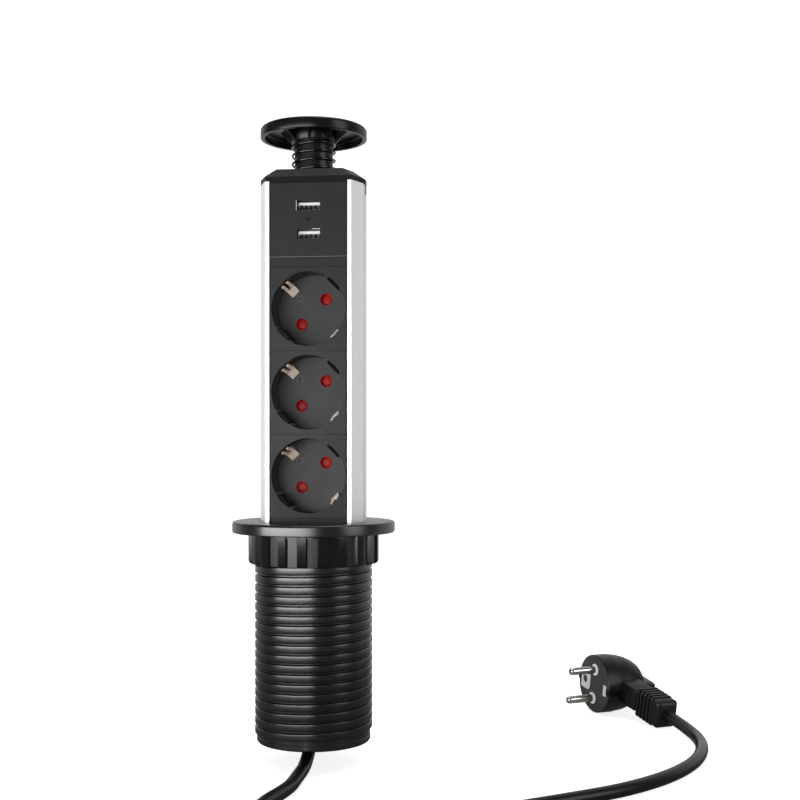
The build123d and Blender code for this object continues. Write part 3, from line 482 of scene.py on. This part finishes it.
def rings_to_mesh(rings, close=True):
    """Join rings of equally many points one after another, with a face at both ends if closed."""
    verts = [v for ring in rings for v in ring]
    k = len(rings[0])
    faces = []
    for i in range(len(rings) - 1):
        for p in range(k):
            q = (p + 1) % k
            faces.append((i * k + p, i * k + q, (i + 1) * k + q, (i + 1) * k + p))
    if close:
        faces.append(tuple(reversed(range(k))))
        faces.append(tuple((len(rings) - 1) * k + p for p in range(k)))
    return verts, faces


def tube(points, radius, sides):
    """A round tube along points, all in metres, with no twist."""
    rings = []
    last = len(points) - 1
    side = (points[1] - points[0]).normalized().orthogonal().normalized()
    for i, point in enumerate(points):
        along = (points[min(last, i + 1)] - points[max(0, i - 1)]).normalized()
        side = (side - along * side.dot(along)).normalized()
        up = along.cross(side)
        turns = [2 * pi * s / sides for s in range(sides)]
        rings.append([point + (side * cos(a) + up * sin(a)) * radius for a in turns])
    return rings_to_mesh(rings)


def block(centre, axes, size, tops=(1, 1)):
    """A box on three axes, in metres, whose end along the last one may be drawn in."""
    verts = []
    for w in (-1, 1):
        share = tops if w > 0 else (1, 1)
        for u, v in ((-1, -1), (1, -1), (1, 1), (-1, 1)):
            across = axes[0] * (u * size[0] / 2 * share[0]) + axes[1] * (v * size[1] / 2 * share[1])
            verts.append(centre + across + axes[2] * (w * size[2] / 2))
    faces = [(0, 3, 2, 1), (4, 5, 6, 7), (0, 1, 5, 4), (1, 2, 6, 5), (2, 3, 7, 6), (3, 0, 4, 7)]
    return verts, faces


# front faces: across, up and out of the face
ACROSS, UP, OUT = Vector((1, 0, 0)), Vector((0, 0, 1)), Vector((0, -1, 0))


def face_block(x, y, z, size, tops=(1, 1), axes=(ACROSS, UP)):
    """A box on the front, in mm, of a width, a height and a depth."""
    return block(Vector((x, y, z)) * MM, (*axes, OUT), tuple(v * MM for v in size), tops)


def face_lathe(points, centre, count=40):
    """Turn (radius, y) points in mm about a line along y through the centre (x, z)."""
    verts, faces = [], []
    k = len(points)
    for i in range(count):
        a = 2 * pi * i / count
        verts += [Vector((centre[0] + r * cos(a), y, centre[1] + r * sin(a))) * MM for r, y in points]
    for i in range(count):
        j = (i + 1) % count
        faces += [(i * k + p, j * k + p, j * k + (p + 1) % k, i * k + (p + 1) % k) for p in range(k)]
    return verts, faces


# sleeve
def thread():
    """A helical ridge round the sleeve's core that rises from it and sinks into it at its ends."""
    per_turn, turns, run_out = 96, 21.3, 14
    section = [(THREAD_ROOT, -2.25), (31.35, -2.0), (31.8, -1.6), (THREAD_CREST, -1.2), (THREAD_CREST, 1.2),
               (31.8, 1.6), (31.35, 2.0), (THREAD_ROOT, 2.25)]
    low, high = -109.6, -0.6
    count, k = int(per_turn * turns), len(section)
    verts = []
    for i in range(count + 1):
        a = 2 * pi * i / per_turn
        level = low + 0.4 + THREAD_PITCH * i / per_turn
        fade = min(1, i / run_out, (count - i) / run_out)
        for r, dz in section:
            deep = THREAD_ROOT + (r - THREAD_ROOT) * fade
            verts.append(Vector((deep * cos(a), deep * sin(a), min(high, max(low, level + dz)))) * MM)
    starts = [i * k + p for i in range(count) for p in range(k - 1)]
    return verts, [(at, at + k, at + k + 1, at + 1) for at in starts]


def guide_rib(side, angle):
    """A rib in the sleeve's bore that the column's groove slides on."""
    turn = Matrix.Rotation(radians(angle), 4, "Z")
    rings = []
    for z, share in ((-35.8, 1), (-30, 1), (-20, 1), (-10, 1), (-3, 1), (-2.2, 0.6)):
        at = turn @ (Vector((28.5, 0, z)) * MM)
        corners = ((-0.7 * share, -0.55), (-0.7 * share, 0.55), (0.9, 0.7), (0.9, -0.7))
        rings.append([at + turn.to_3x3() @ (Vector((dx, dy, 0)) * MM) for dx, dy in corners])
    mesh = rings_to_mesh(rings)
    piece(f"guide_rib_{side}", mesh, "black", "worktop_fitting", "black_moulding", bevel=0.15)


def sleeve():
    edge = 1.4
    top, rim = FLANGE_TOP - edge, FLANGE_RADIUS - edge
    profile = [(29.7, SLEEVE_FOOT), (29.7, -36.0), (29.2, -35.6), (29.2, 5.2), (30.0, FLANGE_TOP)]
    profile.append((rim - 0.1, FLANGE_TOP))
    profile += [(rim + edge * sin(radians(a)), top + edge * cos(radians(a))) for a in range(15, 91, 15)]
    profile += [(FLANGE_RADIUS, 0.5), (FLANGE_RADIUS - 0.5, 0.0), (31.0, 0.0), (SLEEVE_CORE, -0.4)]
    profile += [(SLEEVE_CORE, -109.8), (30.8, -110.1), (30.8, -112.2), (30.2, SLEEVE_FOOT)]
    mesh = joined(lathe(profile, 160), thread())
    obj = piece("sleeve_threaded", mesh, "thread", "worktop_fitting", "black_moulding", angle=32)
    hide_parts("mounting_sleeve")


sleeve()
guide_rib(0, -9.4)
guide_rib(1, 189.4)


# clamp nut: flat ribs with rounded ends, and a smooth bore
def nut():
    step = 2 * pi / NUT_RIBS
    rib_top, rib_half, rib_foot, foot_half = 35.4, 2.2, 33.85, 2.85
    foot_turn, foot_reach = atan2(foot_half, rib_foot), hypot(rib_foot, foot_half)
    outline = []
    for n in range(NUT_RIBS):
        middle = step * n
        for across in (-rib_half, rib_half):
            outline.append((hypot(rib_top, across), middle + atan2(across, rib_top), True))
        start, stop = middle + foot_turn, middle + step - foot_turn
        outline.append((foot_reach, start, False))
        outline += [(NUT_VALLEY, start + (stop - start) * k / 4, False) for k in range(1, 4)]
        outline.append((foot_reach, stop, False))
    # height, share of the rib's height, and how far the whole outline is drawn in
    levels = [(NUT_FOOT, 0.25, 0.5), (-16.5, 0.55, 0.0), (-15.7, 0.9, 0.0), (-15.2, 1.0, 0.0),
              (-0.35, 1.0, 0.0)]
    rings = []
    for z, share, draw in levels:
        reach = [(NUT_VALLEY + (r - NUT_VALLEY) * share if top else r) - draw for r, _, top in outline]
        turns = [a for _, a, _ in outline]
        rings.append([Vector((r * cos(a), r * sin(a), z)) * MM for r, a in zip(reach, turns)])
    for r, z in ((34.45, -0.3), (34.45, -1.6), (32.5, -1.6), (NUT_BORE, -2.0), (NUT_BORE, -16.5),
                 (32.5, NUT_FOOT)):
        rings.append([Vector((r * cos(a), r * sin(a), z)) * MM for _, a, _ in outline])
    mesh = rings_to_mesh(rings + [rings[0]], close=False)
    obj = piece("nut_ribbed", mesh, "nut", "nut", "nut_plastic", angle=24)
    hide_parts("ring_nut")


nut()


# push cap and its spring
def web(n, count):
    """One of the webs between the cap's inner collar and its underside."""
    turn = Matrix.Rotation(2 * pi * n / count, 3, "Z")
    corners = [(11.4, 211.6), (12.4, 211.6), (18.2, 217.3), (18.2, 217.6), (11.4, 217.6)]
    verts = [turn @ Vector((r, y, z)) * MM for y in (-0.7, 0.7) for r, z in corners]
    sides = [(i, (i + 1) % 5, (i + 1) % 5 + 5, i + 5) for i in range(5)]
    return verts, [(4, 3, 2, 1, 0), (5, 6, 7, 8, 9)] + sides


def push_cap():
    edge, webs = 1.9, 8
    top, rim = CAP_TOP - edge, CAP_RADIUS - edge
    profile = [(0, CAP_TOP), (rim - 0.1, CAP_TOP)]
    profile += [(rim + edge * sin(radians(a)), top + edge * cos(radians(a))) for a in range(15, 91, 15)]
    profile += [(CAP_RADIUS, 214.0), (28.75, 213.6), (28.5, CAP_FOOT), (26.9, CAP_FOOT), (26.6, 213.7),
                (26.5, 217.0), (26.0, 217.5), (12.7, 217.5), (12.3, 217.2), (12.2, 212.0), (11.9, 211.5),
                (10.6, 211.5), (10.45, 211.7), (10.45, 217.5), (0, 217.5)]
    mesh = joined(lathe(profile, 144), *(web(n, webs) for n in range(webs)))
    obj = piece("cap_shell", mesh, "black_cap", "push_cap", "black_moulding", angle=30)
    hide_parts("cap_disc")


def spring():
    low, high, end, count = 193.0, 210.9, 0.5, 200
    points = []
    for i in range(count + 1):
        turn = (SPRING_TURNS + 2 * end) * i / count
        climb = min(max((turn - end) / SPRING_TURNS, 0), 1)
        a = pi + 2 * pi * turn
        level = low + (high - low) * climb
        points.append(Vector((SPRING_RADIUS * cos(a), SPRING_RADIUS * sin(a), level)) * MM)
    obj = piece("spring_wire", tube(points, SPRING_WIRE * MM, 14), "steel", "column", "spring_steel")
    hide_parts("cap_spring")
    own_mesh(obj)


push_cap()
spring()


# front plates
def usb_port(name, z):
    """The contacts in a port's mouth: dark teeth over a comb painted grey, as shade on the white tongue
    plastic.
    """
    teeth = []
    for k in range(4):
        x = -3.75 + 2.5 * k
        teeth.append(face_block(x, -14.6, z - 0.7, (1.5, 1.5, 1.1)))
        teeth.append(face_block(x, -14.2, z - 1.15, (1.15, 0.6, 1.6)))
    piece(f"usb_teeth_{name}", joined(*teeth), "guide", "column", "tongue_white", smooth=False)
    comb = [face_block(-5.0 + 2.5 * k, -14.4, z - 0.6, (0.8, 1.3, 1.6), (0.7, 1)) for k in range(5)]
    piece(f"usb_comb_{name}", joined(*comb), "comb", "column", "tongue_white", smooth=False)


# thin pieces on the plates: name, material, slot, place and size. A port's lips and the fascia's foot are
# painted highlights, pale strips where those edges catch the light. Its joint is dark, and the gaps along
# both
# sides are painted shade: black strips where shade falls between the plates and the column's lips
FACE_STRIPS = (
    ("usb_lip_highlight_upper", "plate", "shell_metal", (-6.42, -16.66, 174.9), (0.22, 4.9, 0.5)),
    ("usb_lip_highlight_lower", "plate", "shell_metal", (4.3, -16.66, 162.2), (4.1, 0.24, 0.5)),
    ("fascia_foot_highlight", "edge", "face_plastic", (0, -16.72, 147.45), (40.6, 0.36, 0.3)),
    ("fascia_joint", "guide", "face_plastic", (0, PLATE_FRONT, 147.05), (40.6, 0.34, 0.2)),
    ("plate_gap_shade_left", "guide", "face_plastic", (-20.85, PLATE_FRONT, 95.0), (0.6, 184.0, 0.2)),
    ("plate_gap_shade_right", "guide", "face_plastic", (20.6, PLATE_FRONT, 95.0), (0.7, 184.0, 0.2)),
)


def fascia():
    for name, z in USB_LEVELS.items():
        usb_port(name, z)
    for name, key, slot, place, size in FACE_STRIPS:
        piece(name, face_block(*place, size), key, "column", slot, smooth=False)
    bezel = [(1.85, -16.5), (1.85, -16.72), (1.6, -16.85), (1.15, -16.85), (0.95, -16.72), (0.95, -16.5)]
    mesh = face_lathe(bezel, (0, LED_LEVEL), 36)
    piece("led_bezel", mesh, "fascia", "column", "face_plastic", angle=50)
    dome = [(0.95, -16.5), (0.95, -16.74), (0.5, -16.76), (0, -16.77), (0, -16.5)]
    eye = piece("led_eye", face_lathe(dome, (0, LED_LEVEL), 36), "guide", "column", "lens_clear", angle=50)
    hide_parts("led_lens")


fascia()


# sockets
def face_turned(angle):
    """The directions along and across a line at an angle in degrees on a socket's face."""
    c, s = cos(radians(angle)), sin(radians(angle))
    return Vector((c, 0, s)), Vector((-s, 0, c))


def strip(sections, width, angle, level, thick=0.5):
    """A strip bent through (radius, y, share of its width, shift across), at an angle in a socket."""
    out, along = face_turned(angle)
    origin = Vector((0, 0, level))
    rings = []
    for n, (r, y, share, shift) in enumerate(sections):
        before = sections[max(0, n - 1)]
        after = sections[min(len(sections) - 1, n + 1)]
        run = Vector((after[0] - before[0], after[1] - before[1])).normalized()
        side = Vector((-run.y, run.x)) * thick / 2
        half = width * share / 2
        ring = []
        for u, v in ((-half, -1), (half, -1), (half, 1), (-half, 1)):
            place = origin + out * (r + side.x * v) + along * (u + shift)
            ring.append(Vector((place.x, y + side.y * v, place.z)) * MM)
        rings.append(ring)
    return rings_to_mesh(rings)


def pin_entries(n, level):
    """Red funnels round the pin holes, and the shutter's domes behind them."""
    floor_back = SOCKET_FLOOR + 0.05
    funnel = [(3.34, floor_back), (3.34, 1.88), (2.79, 1.92), (2.79, 2.9), (2.7, 2.9), (2.68, 1.95),
              (3.0, 1.3), (3.22, floor_back)]
    dome = [(0, 3.07), (0.6, 3.03), (1.5, 3.07), (2.3, 3.16), (2.6, 3.3), (2.6, 3.5), (0, 3.5)]
    reach = PIN_REACH * cos(radians(45))
    for side, name in ((1, "a"), (-1, "b")):
        at = (side * reach, level + side * reach)
        piece(f"pin_funnel_{n}{name}", face_lathe(funnel, at), "shutter", "column", "shutter_red", angle=50)
        piece(f"shutter_dome_{n}{name}", face_lathe(dome, at), "shutter", f"shutter_{n}", "shutter_red",
              angle=60)


def boss(n, level):
    """The small moulded ring with a cross on the socket's floor, the ring painted pale as a highlight."""
    x, z = -7.85, level + 7.85
    ring = [(2.15, 0.05), (2.15, -0.12), (2.05, -0.2), (1.85, -0.2), (1.7, -0.05), (1.6, 0.02), (0, -0.06),
            (0, 0.05)]
    ring = [(r, SOCKET_FLOOR + y) for r, y in ring]
    piece(f"boss_{n}", face_lathe(ring, (x, z), 36), "edge", "column", "insert_plastic", angle=40)
    cross = []
    for angle in (20, 110):
        cross.append(face_block(x, SOCKET_FLOOR - 0.02, z, (2.3, 0.55, 0.16), axes=face_turned(angle)))
    piece(f"boss_cross_{n}", joined(*cross), "guide", "column", "insert_plastic", smooth=False)


def guides(n, level):
    """A dark shoe at both ends of the pins' line, each with a ramp on both sides, painted pale as a
    highlight.
    """
    shoe = [(19.05, -16.3, 0.86, 0), (18.9, -15.9, 1, 0), (18.9, -6.5, 1, 0), (19.2, -6.0, 1, 0)]
    for side, angle in enumerate((45, 225)):
        mesh = strip(shoe, 8.2, angle, level, 1.7)
        piece(f"guide_shoe_{n}{side}", mesh, "guide", "column", "insert_plastic", smooth=False)
        ramps = []
        for way in (-1, 1):
            ramp_line = [(19.5, -16.4, 0.5, way * 5.0), (19.05, -15.4, 1, way * 5.3),
                         (18.9, -3.0, 1, way * 5.3), (19.1, 0.6, 1, way * 5.3)]
            ramps.append(strip(ramp_line, 1.5, angle, level, 0.7))
        piece(f"guide_ramps_{n}{side}", joined(*ramps), "edge", "column", "insert_plastic", bevel=0.12)


def clips(n, level):
    """Two sprung earth clips, each a flat foot on the floor with two prongs up the wall."""
    parts = []
    for angle, foot in ((135, 13.9), (-45, 16.2)):
        base = [(foot, 0.45, 0.94, 0), (foot + 0.3, -0.1, 1, 0), (17.0, -1.5, 1, 0), (17.6, -2.2, 1, 0)]
        parts.append(strip(base, 5.4, angle, level))
        for shift in (-1.75, 1.75):
            prong = [(17.4, -1.9, 1), (18.0, -3.4, 1), (18.7, -7.5, 0.95), (19.2, -11.4, 0.9),
                     (19.2, -12.6, 0.85), (18.6, -13.4, 0.8)]
            parts.append(strip([(*point, shift) for point in prong], 1.9, angle, level, 0.55))
    clip = piece(f"clip_{n}", joined(*parts), "copper", "column", "earth_metal", bevel=0.1)
    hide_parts(f"earth_clip_{n}")


for n, level in enumerate(SOCKET_LEVELS, 1):
    pin_entries(n, level)
    boss(n, level)
    guides(n, level)
    clips(n, level)


# plug: it lies on the rim of its face and on its strain relief
PLUG_HEADING, PLUG_FACE = radians(-61), Vector((157.0, 140.0, -106.5))
PLUG_RADIUS, NECK_BACK = 18.5, 17.0
RELIEF_END, RELIEF_WIDE = 57.7, 16.8
TILT = asin(PLUG_RADIUS / hypot(RELIEF_END, RELIEF_WIDE / 2)) - atan2(RELIEF_WIDE / 2, RELIEF_END)
TO_CORD = Vector((cos(PLUG_HEADING) * cos(TILT), sin(PLUG_HEADING) * cos(TILT), -sin(TILT)))
TO_PINS = Vector((sin(PLUG_HEADING), -cos(PLUG_HEADING), 0))
SIDEWAYS = TO_PINS.cross(TO_CORD)
CORD_END = PLUG_FACE - TO_PINS * NECK_BACK + TO_CORD * RELIEF_END


def plug_point(u, v, t):
    """u towards the cord, v across, t back from the face, in mm."""
    return (PLUG_FACE + TO_CORD * u + SIDEWAYS * v - TO_PINS * t) * MM


def plug_block(u, t, size):
    """A box of a length towards the cord, a width and a depth in mm."""
    return block(plug_point(u, 0, t), (TO_CORD, SIDEWAYS, TO_PINS), tuple(v * MM for v in size))


def plug_piece(name, mesh, key, slot="cord_pvc", **look):
    return piece(name, mesh, key, "worktop_fitting", slot, **look)


def rounded_ring(corner):
    """A square from -1 to 1 with round corners, as (a, b) points."""
    points = []
    steps = 6
    for n, (sa, sb) in enumerate(((1, 1), (-1, 1), (-1, -1), (1, -1))):
        for k in range(steps + 1):
            angle = pi / 2 * (n + k / steps)
            points.append((sa * (1 - corner) + corner * cos(angle), sb * (1 - corner) + corner * sin(angle)))
    return points


def across_relief(sections, deep, wide, corner):
    """Rounded rings across the cord's direction, from (place, growth) pairs."""
    corners = rounded_ring(corner)
    rings = []
    for u, grow in sections:
        rings.append([plug_point(u, b * (wide + grow), NECK_BACK + a * (deep + grow)) for a, b in corners])
    return rings_to_mesh(rings)


def plug_shell():
    """The round body, deeper towards the cord, with its face and the dark notches of the earth strip."""
    count = 64
    circle = [(cos(2 * pi * k / count), sin(2 * pi * k / count)) for k in range(count)]
    # depth behind the face, then reach away from the cord, towards it and to both sides
    shape = [(0.15, 17.9, 17.9, 17.9), (0.6, 18.4, 18.4, 18.4), (9.5, PLUG_RADIUS, PLUG_RADIUS, PLUG_RADIUS),
             (10.2, 18.3, 18.3, 18.3), (16, 17.3, 18.0, 17.6), (21, 14.8, 17.2, 16.2),
             (25.5, 11.6, 16.0, 14.2), (28.2, 9.6, 15.2, 12.4), (29.0, 8.6, 14.2, 11.4)]
    rings = []
    for t, up, down, wide in shape:
        rings.append([plug_point((down if c > 0 else up) * c, wide * s, t) for c, s in circle])
    body = plug_piece("plug_shell", rings_to_mesh(rings), "plug", angle=28)
    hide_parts("plug_body")
    rings = []
    for r, t in ((17.95, 0.4), (17.95, 0.14), (17.8, 0.08)):
        rings.append([plug_point(r * c, r * s, t) for c, s in circle])
    plug_piece("plug_face_disc", rings_to_mesh(rings), "plug_face", angle=28)
    for name, u in (("plug_notch_a", -16.7), ("plug_notch_b", 16.7)):
        plug_piece(name, plug_block(u, 4.9, (3.7, 4.1, 10.1)), "guide", bevel=0.2)


def plug_plates():
    """The earth plates on the face: a large one with a round hole and rounded corners, and a small one."""
    middle, hole, half_wide, corner_reach, count = -10.3, 2.4, 6.1, 7.3, 48
    near_half, far_half = 5.9, 4.4
    rings = []
    for t, at_edge in ((0.3, False), (-0.2, False), (-0.25, True), (0.2, True)):
        ring = []
        for k in range(count):
            a = 2 * pi * k / count
            c, s = cos(a), sin(a)
            limits = ((near_half if c > 0 else far_half, c), (half_wide, s))
            edge = min(*(limit / abs(x) for limit, x in limits if abs(x) > 1e-6), corner_reach)
            reach = edge if at_edge else hole
            ring.append(plug_point(middle + reach * c, reach * s, t))
        rings.append(ring)
    small = plug_block(13.1, 0.0, (3.3, 6.9, 0.5))
    mesh = joined(rings_to_mesh(rings, close=False), small)
    plates = plug_piece("plug_plates", mesh, "plate", "pin_nickel", bevel=0.08)
    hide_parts("plug_earth_strip")


def plug_neck():
    """The neck towards the cord with a flat panel, and the grip along the back."""
    corners = rounded_ring(0.22)
    rings = []
    for u, deep, wide in ((9, 6.8, 7.0), (15, 7.4, 7.3), (31.5, 7.2, 6.9), (32.6, 6.6, 6.3)):
        rings.append([plug_point(u, b * wide, NECK_BACK + a * deep) for a, b in corners])
    plug_piece("plug_neck", rings_to_mesh(rings), "plug", angle=30)
    corners = rounded_ring(0.2)
    rings = []
    for t, grow in ((9.9, 0), (9.3, 0), (9.1, -0.5)):
        rings.append([plug_point(22.5 + a * (5.0 + grow), b * (4.6 + grow), t) for a, b in corners])
    plug_piece("plug_neck_panel", rings_to_mesh(rings), "plug", angle=30)
    corners = rounded_ring(0.3)
    rings = []
    for t, half, wide in ((25, 15.4, 5.2), (32.5, 15.0, 4.5), (34.6, 14.2, 3.9), (35, 13.6, 3.3)):
        rings.append([plug_point(3.5 + a * half, b * wide, t) for a, b in corners])
    plug_piece("plug_grip", rings_to_mesh(rings), "plug", angle=30)


def plug_pins():
    """Two pins with round tips, each in a raised collar painted white as a highlight round its base."""
    pin = [(0, 0), (2.4, 0), (2.4, 16.9), (2.25, 17.9), (1.8, 18.6), (1.0, 18.95), (0, 19)]
    ring = [(2.35, 0), (3.7, 0), (3.7, 0.35), (3.5, 0.5), (2.9, 0.55), (2.35, 0.4)]
    turn = Vector((0, 0, 1)).rotation_difference(TO_PINS).to_matrix()
    for name, side in (("plug_pin_a", 1), ("plug_pin_b", -1)):
        at = plug_point(0, side * PIN_REACH, 0)
        plug_piece(name, lathe(pin, 40, at, turn), "nickel", "pin_nickel", angle=50)
        plug_piece(name + "_collar", lathe(ring, 40, at, turn), "collar", "pin_nickel")
    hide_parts("plug_pins")


def plug_relief():
    """The strain relief: a core, five fins and an end collar."""
    parts = [across_relief(((32, 0), (52, 0)), 4.7, 4.7, 0.35)]
    for n in range(5):
        start = 34.6 + 3.5 * n
        fin = ((start, -0.3), (start + 0.35, 0), (start + 1.55, 0), (start + 1.9, -0.3))
        parts.append(across_relief(fin, 7.5, 9.0, 0.25))
    collar = ((50.5, -0.8), (51.3, 0), (55.8, 0), (57.1, -0.9), (RELIEF_END, -2.4))
    parts.append(across_relief(collar, 7.5, RELIEF_WIDE / 2, 0.3))
    relief = plug_piece("plug_relief", joined(*parts), "plug")
    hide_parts("plug_strain_relief")


plug_shell()
plug_plates()
plug_neck()
plug_pins()
plug_relief()


# cord: out of the gland, under the sleeve's foot, round the coil and on to the plug
LAY = TABLE + CORD_RADIUS
SECOND_LAY = 7.5
TAIL = [(0, 9, -64.1), (0, 9, -87), (0, -2, -108), (0, -22, LAY), (0, -46.5, LAY)]
FRONT = [(0, -68, LAY), (-9, -100, LAY), (-5, -132, LAY), (-5, -165, LAY)]
LEAD = [(75, -165, LAY + SECOND_LAY), (75, -143, LAY + SECOND_LAY), (86, -115, LAY), (107, -92, LAY),
        (135, -73, LAY), (164, -52, LAY), (189, -24, LAY), (206, 8, LAY), (213.8, 42, LAY)]
COIL_START, COIL_MIDDLE = -5.0, -171.6
COIL_RADII = (40.5, 36.75, 33.0, 29.25, 25.0, 28.75, 32.5, 36.25, 40.0)
COIL_CLIMB = 4
STRAIGHT_END = 26.25


def coil_points():
    """Seven points for each half turn. They draw in, climb to the second layer and open out again."""
    x, z, side, points = COIL_START, LAY, 1, []
    steps = 7
    swell = 1 / cos(pi / steps / 2)
    for place, r in enumerate(COIL_RADII):
        rise = SECOND_LAY if place == COIL_CLIMB else 0
        middle = x + side * r
        for k in range(steps):
            a = pi * (k + 0.5) / steps
            across, down = side * r * cos(a) * swell, side * r * sin(a) * swell
            points.append((middle - across, COIL_MIDDLE - down, z + rise * (1 - cos(a)) / 2))
        x += 2 * side * r
        z += rise
        side = -side
    return points


def smooth_line(route):
    """Points along the NURBS spline that a route in mm controls, in metres from its first end."""
    data = bpy.data.curves.new("cord_route", "CURVE")
    data.dimensions = "3D"
    spline = data.splines.new("NURBS")
    spline.points.add(len(route) - 1)
    for point, place in zip(spline.points, route):
        point.co = (*(place * MM), 1)
    spline.order_u = 3
    spline.use_endpoint_u = True
    data.resolution_u = 8
    curve = bpy.data.objects.new("cord_route", data)
    scene.collection.objects.link(curve)
    bpy.context.view_layer.update()
    line = bpy.data.meshes.new_from_object(curve)
    points = [v.co.copy() for v in line.vertices]
    bpy.data.objects.remove(curve)
    start = route[0] * MM
    if (points[0] - start).length > (points[-1] - start).length:
        points.reverse()
    return points


def cord():
    route = [Vector(p) for p in TAIL + FRONT + coil_points() + LEAD]
    route += [CORD_END + TO_CORD * STRAIGHT_END, CORD_END]
    points = smooth_line(route)
    obj = piece("cord", tube(points, CORD_RADIUS * MM, 20), "cord", None, "cord_pvc")
    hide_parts("cord_tail", "cord_front", "cord_coil", "cord_lead")
    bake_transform(obj)


cord()
